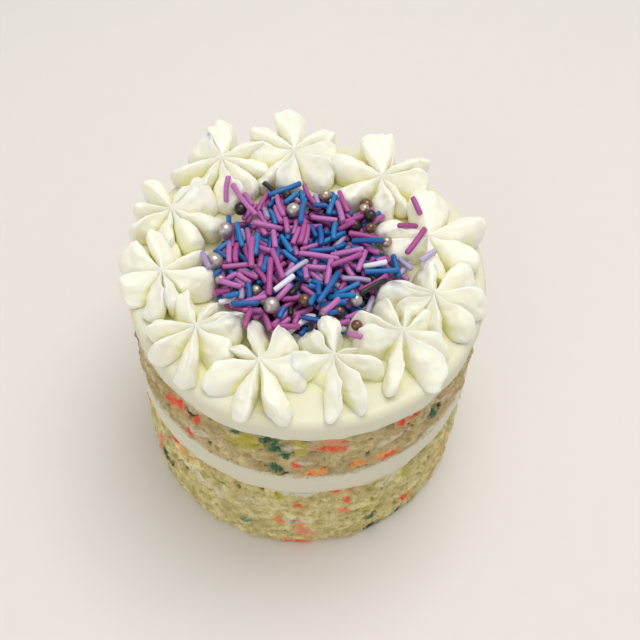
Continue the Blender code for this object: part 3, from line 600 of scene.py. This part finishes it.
def crumb_layer(name, bottom, top, salt, look):
    """A bare crumb layer: lumps, pits, knife drags and melted confetti on its side."""
    rows = int((top - bottom) / CRUMB_ROW_HEIGHT)
    share, angle = np.meshgrid(np.arange(rows + 1) / rows, round_angles(CRUMB_STEPS), indexing="ij")
    height = top + share * (bottom - top)
    tree = BVHTree.FromObject(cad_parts[name], bpy.context.evaluated_depsgraph_get())
    radius = spread_radius(cad_radius(tree, bottom, top), height, bottom, top)
    edge = smooth_step(share, 0.0, 0.03) * smooth_step(1.0 - share, 0.0, 0.04)
    relief = crumb_relief(lay_round(CRUMB_RADIUS, height, angle), salt) * (0.3 + 0.7 * edge)
    # Painted shade: how far each point lies below its blurred surroundings, used to darken the pits.
    depth = smooth_step(blurred(relief, 3, 2) - relief, 0.0001, 0.0011)
    radius = radius + relief - (1.0 - edge) * 0.0009
    side = lay_round(radius, height, angle)
    lid = [point_ring((0.0, 0.0, top), CRUMB_STEPS), lay_round(INNER_RADIUS, top, angle[0])]
    foot = [lay_round(INNER_RADIUS, bottom, angle[0]), point_ring((0.0, 0.0, bottom), CRUMB_STEPS)]
    piece = moulded(name + "_crumb", np.stack([*lid, *side, *foot]))
    points = points_of(piece)
    turn = np.degrees(np.arctan2(points[:, 1], points[:, 0])) % 360.0
    reach = np.hypot(points[:, 0], points[:, 1])
    base = lay_round(CRUMB_RADIUS, points[:, 2], np.radians(turn))
    row = np.rint((top - points[:, 2]) / (top - bottom) * rows).astype(int)
    step = np.rint(turn / 360.0 * CRUMB_STEPS).astype(int) % CRUMB_STEPS
    write_values(piece, "pit", depth[row, step])
    colour, strength = melted_confetti(base, turn, points[:, 2], bottom, top, salt)
    write_values(piece, "stain", colour)
    write_values(piece, "stain_strength", np.where(reach > 0.06, strength, 0.0))
    near = np.minimum(np.abs(points[:, 2] - FILLING_BOTTOM), np.abs(points[:, 2] - FILLING_TOP))
    near = np.minimum(near, np.abs(points[:, 2] - ICING_BOTTOM))
    film = 0.60 * smooth_step(soft_noise(base * np.array([0.5, 0.5, 1.4]), 0.0095, salt + 40), 0.10, 0.70)
    write_values(piece, "smear", film + 0.45 * (1.0 - smooth_step(near, 0.0003, 0.0022)))
    settle_in(piece, look, "bare_crumb", name)


def cad_radius(tree, bottom, top):
    """The solid's outer radius round the cake and up its side."""
    rows, steps = 14, 144
    upper, lower = 0.0015, 0.0005
    found = np.full((rows, steps), CRUMB_RADIUS)
    for row in range(rows):
        height = top - upper + (bottom + lower - top + upper) * row / (rows - 1)
        for step in range(steps):
            turn = math.tau * step / steps
            out = Vector((math.cos(turn), math.sin(turn), 0.0))
            hit = tree.ray_cast(out * 0.10 + Vector((0.0, 0.0, height)), -out)
            if hit[0]:
                found[row, step] = math.hypot(hit[0].x, hit[0].y)
    for _ in range(2):
        found = (np.roll(found, 1, axis=1) + 2.0 * found + np.roll(found, -1, axis=1)) / 4.0
    return found


def spread_radius(found, height, bottom, top):
    """Interpolate the solid's radius over a fine side."""
    rows, steps = found.shape
    fine = height.shape[1]
    row = np.clip((top - height) / (top - bottom) * (rows - 1), 0.0, rows - 1.001)
    column = np.tile(np.arange(fine) / fine * steps, (height.shape[0], 1))
    low_row, low_column = np.floor(row).astype(int), np.floor(column).astype(int) % steps
    part_row, part_column = row - low_row, column - np.floor(column)
    next_column = (low_column + 1) % steps
    upper = found[low_row, low_column] * (1 - part_column) + found[low_row, next_column] * part_column
    lower = found[low_row + 1, low_column] * (1 - part_column) + found[low_row + 1, next_column] * part_column
    return upper * (1 - part_row) + lower * part_row


def melted_confetti(base, turn, height, bottom, top, salt):
    """Colour and strength of the confetti at points of the side."""
    draw = random.Random(salt)
    spots = [spot for spot in CONFETTI if bottom - 0.002 < spot[1] * MM < top + 0.002]
    for _ in range(26 if top > 0.06 else 34):
        direction = draw.uniform(-24.0, 212.0)
        spots.append((direction, draw.uniform(bottom + 0.002, top - 0.002) / MM, draw.uniform(1.2, 3.6),
                      draw.uniform(1.1, 2.8), draw.uniform(-40, 40),
                      draw.choice(("red", "red", "green", "olive", "orange", "coral", "ink", "rose"))))
    colour = np.tile(np.array(CONFETTI_COLOURS["coral"]), (len(base), 1))
    strength = np.zeros(len(base))
    blur = soft_noise(base, 0.0021, salt + 50) + 0.6 * soft_noise(base, 0.0009, salt + 51)
    for direction, level, wide, tall, tilt, name in spots:
        along = ((turn - direction + 180.0) % 360.0 - 180.0) * math.radians(1.0) * CRUMB_RADIUS / MM
        up = height / MM - level
        lean = math.radians(tilt)
        u = along * math.cos(lean) + up * math.sin(lean)
        v = -along * math.sin(lean) + up * math.cos(lean)
        away = np.sqrt((u / (1.30 * wide)) ** 2 + (v / (1.60 * tall)) ** 2) + 0.40 * blur
        here = np.clip(1.15 - 0.66 * away, 0.0, 1.0)
        stronger = here > strength
        colour[stronger] = CONFETTI_COLOURS[name]
        strength = np.maximum(strength, here)
    return colour, strength


def icing_body(name, rings):
    """A round body of buttercream from rings of (radius, height), each one number or round the cake."""
    angle = round_angles(ICING_STEPS)
    sides = [lay_round(radius, height, angle) for radius, height in rings]
    top, bottom = (float(side[:, 2].mean()) for side in (sides[0], sides[-1]))
    lid, foot = point_ring((0.0, 0.0, top), ICING_STEPS), point_ring((0.0, 0.0, bottom), ICING_STEPS)
    return moulded(name, np.stack([lid, *sides, foot]))


def top_slab():
    """The slab of buttercream on top: soft rounded rim, spatula drags and an uneven lower edge."""
    angle = round_angles(ICING_STEPS)
    circle = lay_round(TOP_RADIUS, 0.0, angle)
    rim = TOP_RADIUS - 0.0004 + 0.0006 * soft_noise(circle, 0.030, 61)
    rim = rim + 0.0003 * soft_noise(circle, 0.010, 62)
    rings = []
    for radius in np.linspace(0.004, 0.0700, 24):
        flat = lay_round(radius, 0.0, angle)
        rings.append((radius, ICING_TOP - 0.0001 + 0.00025 * soft_noise(flat, 0.012, 63)))
    lip = 0.0037 + 0.0005 * soft_noise(circle, 0.017, 64)
    for turn in np.linspace(0.12, 1.0, 12) * math.pi / 2.0:
        inset = lip * (1.0 - math.sin(turn))
        drop = lip * (1.0 - math.cos(turn))
        wave = (1.0 - math.sin(turn)) * 0.00025 * soft_noise(lay_round(rim - inset, 0.0, angle), 0.012, 63)
        rings.append((rim - inset, ICING_TOP - drop + wave))
    low = ICING_BOTTOM + 0.0012 * soft_noise(circle, 0.015, 65) + 0.0007 * soft_noise(circle, 0.0042, 66)
    for share in np.linspace(0.08, 1.0, 14):
        height = (ICING_TOP - lip) * (1.0 - share) + low * share
        flat = lay_round(rim, height, angle)
        wipe = 0.00022 * soft_noise(flat * np.array([0.25, 0.25, 1.0]), 0.0022, 67)
        pad = 0.00030 * soft_noise(flat, 0.0080, 68)
        rings.append((rim + wipe + pad - 0.0003 * share, height))
    for inset, drop in ((0.0004, 0.0003), (0.0012, 0.0004), (0.0040, 0.0002)):
        rings.append((rim - inset, low - drop))
    rings.append((INNER_RADIUS, ICING_BOTTOM - 0.0002))
    return icing_body("top_buttercream_slab", rings)


def filling_band(look):
    """The filling: a smooth band with uneven edges that lap on to the crumb."""
    angle = round_angles(ICING_STEPS)
    circle = lay_round(TOP_RADIUS, 0.0, angle)
    high = FILLING_TOP + 0.0014 * soft_noise(circle, 0.015, 71) + 0.0008 * soft_noise(circle, 0.0042, 72)
    low = FILLING_BOTTOM + 0.0014 * soft_noise(circle, 0.016, 73) + 0.0008 * soft_noise(circle, 0.0042, 74)
    rings = [(INNER_RADIUS, FILLING_TOP)]
    for inset, rise in ((0.0030, 0.0002), (0.0009, 0.0003)):
        rings.append((FILLING_RADIUS - inset, high + rise))
    for share in np.linspace(0.0, 1.0, 18):
        height = high * (1.0 - share) + low * share
        flat = lay_round(FILLING_RADIUS, height, angle)
        bulge = 0.0009 * (1.0 - (2.0 * share - 1.0) ** 2)
        wipe = 0.00020 * soft_noise(flat * np.array([0.22, 0.22, 1.0]), 0.0024, 75)
        pad = 0.00040 * soft_noise(flat, 0.0100, 76)
        rings.append((FILLING_RADIUS + 0.0004 + bulge + wipe + pad, height))
    for inset, drop in ((0.0009, 0.0003), (0.0030, 0.0002)):
        rings.append((FILLING_RADIUS - inset, low - drop))
    rings.append((INNER_RADIUS, FILLING_BOTTOM))
    piece = icing_body("filling_band", rings)
    height = points_of(piece)[:, 2]
    border = np.minimum(np.abs(height - FILLING_TOP), np.abs(height - FILLING_BOTTOM))
    # Painted shade: a faint, even share of the yellow hollow tint on the filling.
    write_values(piece, "hollow_shade", np.full(len(height), 0.05))
    write_values(piece, "crumbs", 1.0 - smooth_step(border, 0.0002, 0.0034))
    settle_in(piece, look, "buttercream", "buttercream_filling")


def course(table, column, share):
    """A petal's course, rounded at the table's corners."""
    fine = np.linspace(-0.1, 1.1, 241)
    rows = np.array(table)
    line = np.interp(fine, rows[:, 0], rows[:, column])
    line = np.convolve(line, np.ones(13) / 13.0, mode="same")
    exact = np.interp(share, rows[:, 0], rows[:, column])
    inside = smooth_step(share, 0.02, 0.10) * smooth_step(1.0 - share, 0.0, 0.06)
    return np.interp(share, fine, line) * inside + exact * (1.0 - inside)


def free_reach(number, centre, angle):
    """How far a petal goes before the cake's edge, the heap or a neighbour stops it."""
    heading = np.array([math.cos(angle), math.sin(angle)])

    def crossing(middle, radius):
        """Distance past a circle's middle along the heading, and half of the chord there, squared."""
        offset = centre - middle
        along = offset @ heading
        return along, along * along - offset @ offset + radius * radius

    along, chord = crossing(np.zeros(2), OVERHANG_RADIUS)
    reach = -along + math.sqrt(max(0.0, chord))
    along, chord = crossing(np.array(HEAP_CENTRE), HEAP_CLEAR_RADIUS)
    if along < 0.0 < chord:
        reach = min(reach, -along - math.sqrt(chord))
    for other in range(len(FLOWERS)):
        if other != number:
            between = flower_centre(other) - centre
            away = float(np.hypot(*between))
            toward = heading @ between / away
            if toward > 0.05:
                reach = min(reach, NEIGHBOUR_OVERLAP * away / 2.0 / toward)
    return reach


def flower_centre(number):
    """Middle of a flower in plan."""
    turn = math.radians(FLOWERS[number][0])
    return FLOWERS[number][1] * np.array([math.cos(turn), math.sin(turn)])


def piped_flower(number):
    """One piped flower: petals that widen outwards, with deep grooves that meet in a small peak."""
    centre = flower_centre(number)
    directions, reaches, shares_of_height = (np.array(column, float) for column in zip(*FLOWERS[number][2]))
    keen = KEEN_FLOWERS.get(number + 1, 0.30)
    headings, talls = np.radians(directions), shares_of_height * FLOWER_HEIGHT
    lengths = reaches * (1.09 - 0.09 * keen) * MM
    count = len(headings)
    draw = random.Random(SEED * 100 + number)

    def each(low, high):
        """A random number for each petal."""
        return np.array([draw.uniform(low, high) for _ in range(count)])

    leans = each(-0.48, 0.48)
    names = [(number + 1, tip + 1) for tip in range(count)]
    square = np.array([1.0 if name in SQUARE_PETALS else 0.0 for name in names])
    ridges = np.array([PETAL_RIDGES.get(name, draw.choice((-1, 1)) * draw.uniform(0.12, 0.55))
                       for name in names])
    hooks = np.copysign(each(0.05, 0.22) * (1.0 + 0.8 * keen), ridges)
    fullness = each(1.4, 2.3) + 3.0 * square
    outlines = each(2.0, 3.2) - 0.5 * keen + 3.0 * square
    slants = each(-0.10, 0.10)
    folds = each(0.0, math.tau)
    blunts = np.maximum(square, each(0.0, 0.9) * (1.0 - 0.6 * keen))
    curls = each(-0.10, 0.14)
    spreads = np.radians([PETAL_SPREADS.get(name, LOBE_HALF_ANGLE - 11.0 * keen + draw.uniform(-3.0, 4.0))
                          for name in names])
    rags = np.array([1.0 if name in TORN_PETALS else draw.uniform(0.0, 0.35) for name in names])

    # Each petal's half of the space up to its neighbour, and its length and height there
    petal = np.repeat(np.arange(count), ACROSS_STEPS)
    across = np.tile(np.linspace(-1.0, 1.0, ACROSS_STEPS, endpoint=False), count)
    gaps = (np.roll(headings, -1) - headings) % math.tau
    half = np.where(across > 0.0, gaps[petal] / 2.0, gaps[(petal - 1) % count] / 2.0)
    angle = headings[petal] + across * half
    neighbour = np.where(across > 0.0, (petal + 1) % count, (petal - 1) % count)
    mix = np.abs(across) / 2.0
    length = lengths[petal] * (1.0 - mix) + lengths[neighbour] * mix
    tall = talls[petal] * (1.0 - mix) + talls[neighbour] * mix
    over = np.clip(across * half / (LOBE_SHARE * np.minimum(half, spreads[petal])), -1.0, 1.0)
    outline = outlines[petal]
    spread = (1.0 - np.abs(over) ** outline) ** (1.0 / outline) * (1.0 + slants[petal] * over)
    widest = length * (GROOVE_REACH + (1.0 - GROOVE_REACH) * spread)
    limit = np.array([free_reach(number, centre, turn) for turn in angle])
    length = length * np.minimum(1.0, limit / widest)

    # Cross-section: a full lobe near the middle, a sharper blade where the nozzle's tooth ran
    ridge = ridges[petal]
    beside = (over - ridge) / np.where(over > ridge, 1.0 - ridge, 1.0 + ridge)
    power = fullness[petal]
    lobe = (1.0 - np.abs(beside) ** power) ** (1.0 / power)
    blade = (1.0 - np.abs(beside)) ** np.where(beside * ridge < 0.0, 1.20, 0.85)
    rows = np.concatenate([np.linspace(0.0, 0.5, 16)[1:], np.linspace(0.5, 1.0, PETAL_ROWS - 14)[1:]])
    share = rows[:, None]
    sharp = 0.70 + 0.20 * keen - (0.24 - 0.16 * keen) * smooth_step(share, 0.10, 0.75)
    sharp = sharp * (1.0 - 0.8 * square[petal])
    cross = (1.0 - sharp) * lobe + sharp * blade
    fold = 0.05 * np.sin(7.0 * over + folds[petal]) * (1.0 - over * over)
    cross = cross + fold * smooth_step(share, 0.20, 0.50)

    # Course outwards and upwards, mixed from the plain, the blunt and the slender crest
    blunt, slender = blunts[petal], 0.65 * keen * (1.0 - square[petal])
    plain = 1.0 - blunt - slender
    far, high = (plain * course(CREST, column, share) + blunt * course(BLUNT_CREST, column, share)
                 + slender * course(SLENDER_CREST, column, share) for column in (1, 2))
    reach = length * (course(GROOVE, 1, share) + (far - course(GROOVE, 1, share)) * spread)
    rise = course(GROOVE, 2, share) + (high - course(GROOVE, 2, share)) * cross
    rise = tall * rise * (1.0 + leans[petal] * across * (1.0 - np.abs(across)) * share)
    swell = smooth_step(share, 0.35, 0.62) * (1.0 - smooth_step(share, 0.70, 0.88))
    rise = rise * (1.0 + curls[petal] * swell * cross)
    middle = 1.0 - smooth_step(share, 0.0, 0.13)
    peak = FLOWER_HEIGHT * PEAK_SHARE + 0.0012 * (1.0 - smooth_step(share, 0.0, 0.06))
    rise = rise * (1.0 - middle) + peak * middle

    # Heading: ends draw together and hook to one side
    taper = 0.42 * keen * (1.0 - square[petal]) * smooth_step(share, 0.40, 0.95) * (1.0 - across ** 4)
    turned = headings[petal] + (angle - headings[petal]) * (1.0 - taper)
    hooked = smooth_step(share, 0.15, 0.65) * (1.0 - 0.6 * smooth_step(share, 0.65, 1.0))
    turned = turned + hooks[petal] * cross * hooked
    low = ICING_TOP - FLOWER_SINK
    places = np.stack([centre[0] + reach * np.cos(turned), centre[1] + reach * np.sin(turned), low + rise],
                      axis=-1)

    # Sway, ripples and torn ends
    own = places + number * np.array([0.31, 0.17, 0.23])
    loose = (smooth_step(share, 0.10, 0.45) * (1.0 - smooth_step(share, 0.92, 1.0)))[..., None]
    end = smooth_step(share, 0.50, 0.66) * (1.0 - smooth_step(share, 0.80, 0.95)) * rags[petal] * cross
    sway, ripples = noise_vector(own, 0.0060, 80), noise_vector(own, 0.0022, 84)
    places = places + loose * (0.0010 * sway + 0.00038 * ripples)
    places = places + end[..., None] * 0.0012 * noise_vector(own, 0.0023, 88)
    top = point_ring((*centre, low + FLOWER_HEIGHT * PEAK_SHARE + 0.0013), petal.size)
    bottom = point_ring((*centre, low), petal.size)
    name = f"piped_flower_{number + 1:02d}"
    flower = moulded(name, np.concatenate([top[None], places, bottom[None]]))
    soften(flower, 0.35, 1)
    return flower


def height_map(pieces, cell, half):
    """Heights of the pieces' tops on a square grid, with the slab's flat top under them."""
    size = int(round(2.0 * half / cell)) + 1
    line = np.arange(size) * cell - half
    inside = np.hypot(line[:, None], line[None, :]) < TOP_RADIUS - 0.0030
    heights = np.where(inside, ICING_TOP, 0.0)
    for piece in pieces:
        points = points_of(piece)
        corners = np.array([face.vertices for face in piece.data.polygons if len(face.vertices) == 4])
        one, two, three, four = (points[corners[:, index]] for index in range(4))
        longest = np.percentile(np.linalg.norm(one - two, axis=1), 98)
        longest = max(longest, np.percentile(np.linalg.norm(two - three, axis=1), 98))
        shares = np.linspace(0.0, 1.0, int(longest / cell) + 3)
        for u in shares:
            for v in shares:
                spot = (one * (1 - u) + two * u) * (1 - v) + (four * (1 - u) + three * u) * v
                row = np.rint((spot[:, 0] + half) / cell).astype(int)
                column = np.rint((spot[:, 1] + half) / cell).astype(int)
                good = (row >= 0) & (row < size) & (column >= 0) & (column < size)
                np.maximum.at(heights, (row[good], column[good]), spot[good, 2])
    return heights


def blurred(heights, span, times):
    """A grid averaged over squares of 2 * span + 1 cells."""
    size = 2 * span + 1
    for _ in range(times):
        for axis in (0, 1):
            margins = [(span + 1, span) if axis == one else (0, 0) for one in (0, 1)]
            padded = np.pad(heights, margins, mode="edge")
            total = np.cumsum(padded, axis=axis)
            heights = (np.take(total, range(size, total.shape[axis]), axis=axis)
                       - np.take(total, range(0, total.shape[axis] - size), axis=axis)) / size
    return heights


def paint_hollow_shade(piece, surroundings, share):
    """Painted shade: how deep each point lies below its surroundings, times a share, which yellows the
    hollows.
    """
    points = points_of(piece)
    row, column = (np.clip(np.rint((points[:, axis] + MAP_HALF) / MAP_CELL).astype(int), 0,
                           surroundings.shape[0] - 1) for axis in (0, 1))
    deep = share * smooth_step(surroundings[row, column] - points[:, 2], 0.0002, 0.0052)
    write_values(piece, "hollow_shade", deep * smooth_step(points[:, 2], ICING_TOP - 0.0020, ICING_TOP - 0.0004))


class Pile:
    """Heights of the heap as it grows, on a fine grid."""

    CELL = 0.0004
    HALF = 0.0600

    def __init__(self, pieces):
        self.heights = height_map(pieces, self.CELL, self.HALF)

    def cells(self, x, y):
        limit = len(self.heights) - 1
        return (np.clip(np.rint((x + self.HALF) / self.CELL).astype(int), 0, limit),
                np.clip(np.rint((y + self.HALF) / self.CELL).astype(int), 0, limit))

    def cells_beside(self, x, y, turn, along, off):
        """Cells under a line that runs beside a rod's axis."""
        cosine, sine = math.cos(turn), math.sin(turn)
        return self.cells(x + along * cosine - off * sine, y + along * sine + off * cosine)

    def rest_rod(self, x, y, turn, length, radius):
        """Height of a rod's middle and its slope when it comes to rest at a place."""
        along = np.linspace(-0.5, 0.5, 25) * length
        need = np.zeros(along.size)
        for across in (-0.7, 0.0, 0.7):
            off = across * radius
            under = self.heights[self.cells_beside(x, y, turn, along, off)]
            need = np.maximum(need, under + math.sqrt(radius * radius - off * off))
        half = along.size // 2
        left, right = along[:half, None], along[None, half + 1:]
        low, high = need[:half, None], need[None, half + 1:]
        level = (low * right - high * left) / (right - left)
        best = np.unravel_index(np.argmax(level), level.shape)
        middle = float(level[best])
        slope = float((high[0, best[1]] - low[best[0], 0]) / (right[0, best[1]] - left[best[0], 0]))
        if need[half] > middle:
            slope = float(np.clip(slope, -0.12, 0.12))
            middle = float((need - slope * along).max())
        return middle, slope

    def lay_rod(self, tries, length, radius, steepest):
        """Lay a rod down at the best of the places tried; nothing if it would stand too steep there."""
        best = None
        for x, y, turn in tries:
            middle, slope = self.rest_rod(x, y, turn, length, radius)
            cost = middle + length * 0.35 * abs(slope)
            if best is None or cost < best[0]:
                best = (cost, x, y, turn, middle, slope)
        _, x, y, turn, middle, slope = best
        if abs(slope) > steepest:
            return None
        middle -= SINK * radius
        fine = np.linspace(-0.5, 0.5, int(length / 0.0003) + 2) * length
        for across in np.linspace(-0.95, 0.95, 7):
            off = across * radius
            crest = middle + slope * fine + math.sqrt(radius ** 2 - off ** 2)
            np.maximum.at(self.heights, self.cells_beside(x, y, turn, fine, off), crest)
        return Vector((x, y, middle)), Vector((math.cos(turn), math.sin(turn), slope)).normalized(), length

    def lay_pearl(self, x, y, radius):
        """Lay a pearl down in the lowest spot close by and return its middle."""
        span = int(radius / self.CELL)
        steps = np.arange(-span, span + 1) * self.CELL
        dx, dy = np.meshgrid(steps, steps, indexing="ij")
        inside = dx * dx + dy * dy < (0.96 * radius) ** 2
        dx, dy = dx[inside], dy[inside]
        cap = np.sqrt(radius * radius - dx * dx - dy * dy)
        best = None
        shifts = (-0.0010, -0.0005, 0.0, 0.0005, 0.0010)
        for shift_x in shifts:
            for shift_y in shifts:
                rows, columns = self.cells(x + shift_x + dx, y + shift_y + dy)
                level = float((self.heights[rows, columns] + cap).max())
                if best is None or level < best[2]:
                    best = (x + shift_x, y + shift_y, level)
        rows, columns = self.cells(best[0] + dx, best[1] + dy)
        self.heights[rows, columns] = np.maximum(self.heights[rows, columns], best[2] + cap)
        return Vector(best)


def shape_of(piece):
    """A piece's points and faces as plain lists; the piece itself is removed."""
    points = points_of(piece)
    faces = [tuple(face.vertices) for face in piece.data.polygons]
    bpy.data.objects.remove(piece, do_unlink=True)
    return points, faces


def rod_shape():
    """One rod sprinkle of unit radius and unit half length, along Z, with rounded ends."""
    bpy.ops.object.select_all(action="DESELECT")
    bpy.ops.mesh.primitive_cylinder_add(vertices=9, radius=1.0, depth=2.0)
    bpy.ops.object.mode_set(mode="EDIT")
    for height in (-0.84, -0.3, 0.3, 0.84):
        bpy.ops.mesh.select_all(action="SELECT")
        bpy.ops.mesh.bisect(plane_co=(0.0, 0.0, height), plane_no=(0.0, 0.0, 1.0))
    bpy.ops.object.mode_set(mode="OBJECT")
    return shape_of(bpy.context.object)


def rod_points(base, middle, heading, length, radius, bend, draw):
    """A rod's points, bent a little, with its ends rounded in."""
    along = base[:, 2] * length / 2.0
    end = np.abs(base[:, 2]) > 0.9
    near_end = (np.abs(base[:, 2]) > 0.7) & ~end
    along = np.where(near_end, np.sign(base[:, 2]) * (length / 2.0 - 0.42 * radius), along)
    flat = base[:, :2] * radius * np.where(end, draw.uniform(0.62, 0.82), 1.0)[:, None]
    flat = flat * (1.0 + 0.05 * math.sin(5.0 * middle.x * 1000.0) * base[:, 2:3])
    side = bend * length * (base[:, 2] ** 2 - 0.33)
    local = np.stack([flat[:, 0] + side, flat[:, 1], along], axis=-1)
    level = Vector((-heading.y, heading.x, 0.0)).normalized()
    up = heading.cross(level)
    turn = np.array([level, up, heading])
    return local @ turn + np.array(middle)


def joined(name, shapes, tones):
    """One mesh from many shapes, with each shape's own tone."""
    points = np.concatenate([shape[0] for shape in shapes])
    faces, start = [], 0
    for shape in shapes:
        faces.extend(tuple(index + start for index in face) for face in shape[1])
        start += len(shape[0])
    mesh = bpy.data.meshes.new(name)
    mesh.from_pydata(points.tolist(), [], faces)
    mesh.update()
    piece = bpy.data.objects.new(name, mesh)
    bpy.context.scene.collection.objects.link(piece)
    each = [np.full(len(shape[0]), tone) for shape, tone in zip(shapes, tones)]
    write_values(piece, "tone", np.concatenate(each))
    return piece


def heap_core():
    """The low mound under the sprinkles."""
    steps = 120
    angle = round_angles(steps)
    places = [point_ring((*HEAP_CENTRE, ICING_TOP + CORE_HEIGHT), steps)]
    for share in np.linspace(0.06, 1.0, 18):
        reach = CORE_REACH * share * (1.0 + 0.04 * np.sin(3.0 * angle + 1.0))
        x, y = HEAP_CENTRE[0] + reach * np.cos(angle), HEAP_CENTRE[1] + reach * np.sin(angle)
        flat = np.stack([x, y, np.zeros(steps)], axis=-1)
        level = CORE_HEIGHT * (1.0 - share ** 2.4) - 0.0004 * share
        level = level + 0.0005 * soft_noise(flat, 0.006, 91) * (1.0 - share)
        places.append(np.stack([x, y, ICING_TOP + level], axis=-1))
    places.append(point_ring((*HEAP_CENTRE, ICING_TOP - 0.0008), steps))
    return moulded("sprinkle_heap_core", np.stack(places))


def sprinkles(core, flowers, slab):
    """Rods and pearls dropped one by one on the core, each at rest on what lies under it."""
    draw = random.Random(SEED)
    pile = Pile([slab, core, *flowers])
    base, faces = rod_shape()
    shapes = {kind: [] for kind in PLACED_RODS}
    tones = {kind: [] for kind in PLACED_RODS}

    def lay(kind, tries, length, steepest):
        radius = ROD_RADIUS * draw.uniform(0.93, 1.06)
        bend = draw.choice((0.0, 0.0, 0.02, -0.02, 0.05, -0.05)) * draw.uniform(0.6, 1.3)
        laid = pile.lay_rod(tries, length, radius, steepest)
        if laid:
            shapes[kind].append((rod_points(base, *laid, radius, bend, draw), faces))
            tones[kind].append(draw.random())

    for _ in range(LOOSE_RODS):
        tries = []
        for _ in range(16):
            reach, direction = HEAP_REACH * math.sqrt(draw.random()), draw.uniform(0.0, math.tau)
            tries.append((HEAP_CENTRE[0] + reach * math.cos(direction),
                          HEAP_CENTRE[1] + reach * math.sin(direction), draw.uniform(0.0, math.pi)))
        kind = draw.choices(("magenta", "blue", "lavender", "white", "black"), (54, 32, 8, 2, 4))[0]
        lay(kind, tries, draw.uniform(0.0050, 0.0120), 0.40)

    for kind, spots in PEARLS.items():
        pearls = []
        for x, y, radius in spots:
            middle = pile.lay_pearl(x * MM, y * MM, radius * MM)
            bpy.ops.object.select_all(action="DESELECT")
            bpy.ops.mesh.primitive_uv_sphere_add(segments=20, ring_count=12, radius=radius * MM,
                                                 location=middle)
            bpy.ops.object.transform_apply(location=True, rotation=True, scale=True)
            pearls.append(shape_of(bpy.context.object))
        piece = joined(f"pearls_{kind}", pearls, [0.5] * len(pearls))
        coat = lustre(f"{kind}_pearl", *PEARL_COATS[kind])
        settle_in(piece, coat, "sugar_sprinkles", "sprinkle_heap")

    order = [(length, kind, x, y, turn) for kind, rods in PLACED_RODS.items() for x, y, turn, length in rods]
    for length, kind, x, y, turn in sorted(order):
        tries = [((x + dx) * MM, (y + dy) * MM, math.radians(turn + spin))
                 for dx in (0.0, -0.5, 0.5) for dy in (0.0, -0.5, 0.5) for spin in (0.0, -5.0, 5.0)]
        lay(kind, tries, length * MM, 0.9)

    for kind, coat in ROD_COATS.items():
        piece = joined(f"rods_{kind}", shapes[kind], tones[kind])
        settle_in(piece, sugar(f"{kind}_sugar", *coat), "sugar_sprinkles", "sprinkle_heap")
        piece.data.set_sharp_from_angle(angle=math.radians(50))


camera_and_light()
# Each buttercream's second colour is painted shade for its hollows.
cream = buttercream("piped_buttercream", (0.90, 0.89, 0.77), (0.96, 0.925, 0.54))
# Painted shade: the slab and the filling are darker, yellower copies of the piped buttercream, for the less
# light that reaches them.
shaded_slab_cream = buttercream("shaded_slab_buttercream", (0.73, 0.722, 0.56), (0.84, 0.81, 0.46))
shaded_filling_cream = buttercream("shaded_filling_buttercream", (0.69, 0.66, 0.515), (0.70, 0.65, 0.41))
lower_crumb = sponge("lower_crumb", (0.18, 0.120, 0.036), (0.36, 0.275, 0.088), (0.46, 0.385, 0.136),
                     (0.92, 0.835, 0.43))
crumb_layer("lower_cake_layer", 0.0, FILLING_BOTTOM, 300, lower_crumb)
upper_crumb = sponge("upper_crumb", (0.15, 0.095, 0.036), (0.30, 0.208, 0.080), (0.41, 0.312, 0.128),
                     (0.76, 0.630, 0.34))
crumb_layer("upper_cake_layer", FILLING_TOP, ICING_BOTTOM, 400, upper_crumb)
filling_band(shaded_filling_cream)
slab = top_slab()
flowers = [piped_flower(number) for number in range(len(FLOWERS))]
core = heap_core()
# Painted shade: the slab and the flowers are yellowed in their hollows, the slab at 0.70 of the strength.
surroundings = blurred(height_map([slab, *flowers], MAP_CELL, MAP_HALF), 5, 2)
for piece in (slab, *flowers):
    paint_hollow_shade(piece, surroundings, 0.70 if piece is slab else 1.0)
settle_in(slab, shaded_slab_cream, "buttercream", "top_buttercream")
for number, flower in enumerate(flowers):
    settle_in(flower, cream, "piped_buttercream", f"buttercream_flower_{number + 1:02d}")
# Partly painted shade: the core stands for sprinkles deep in the heap, coloured very dark magenta and blue
# for the shadow they lie in.
shaded_core_coat = sugar("shaded_lower_sprinkles", (0.060, 0.012, 0.045), (0.006, 0.020, 0.070), 0.6)
settle_in(core, shaded_core_coat, "sugar_sprinkles", "sprinkle_heap")
sprinkles(core, flowers, slab)
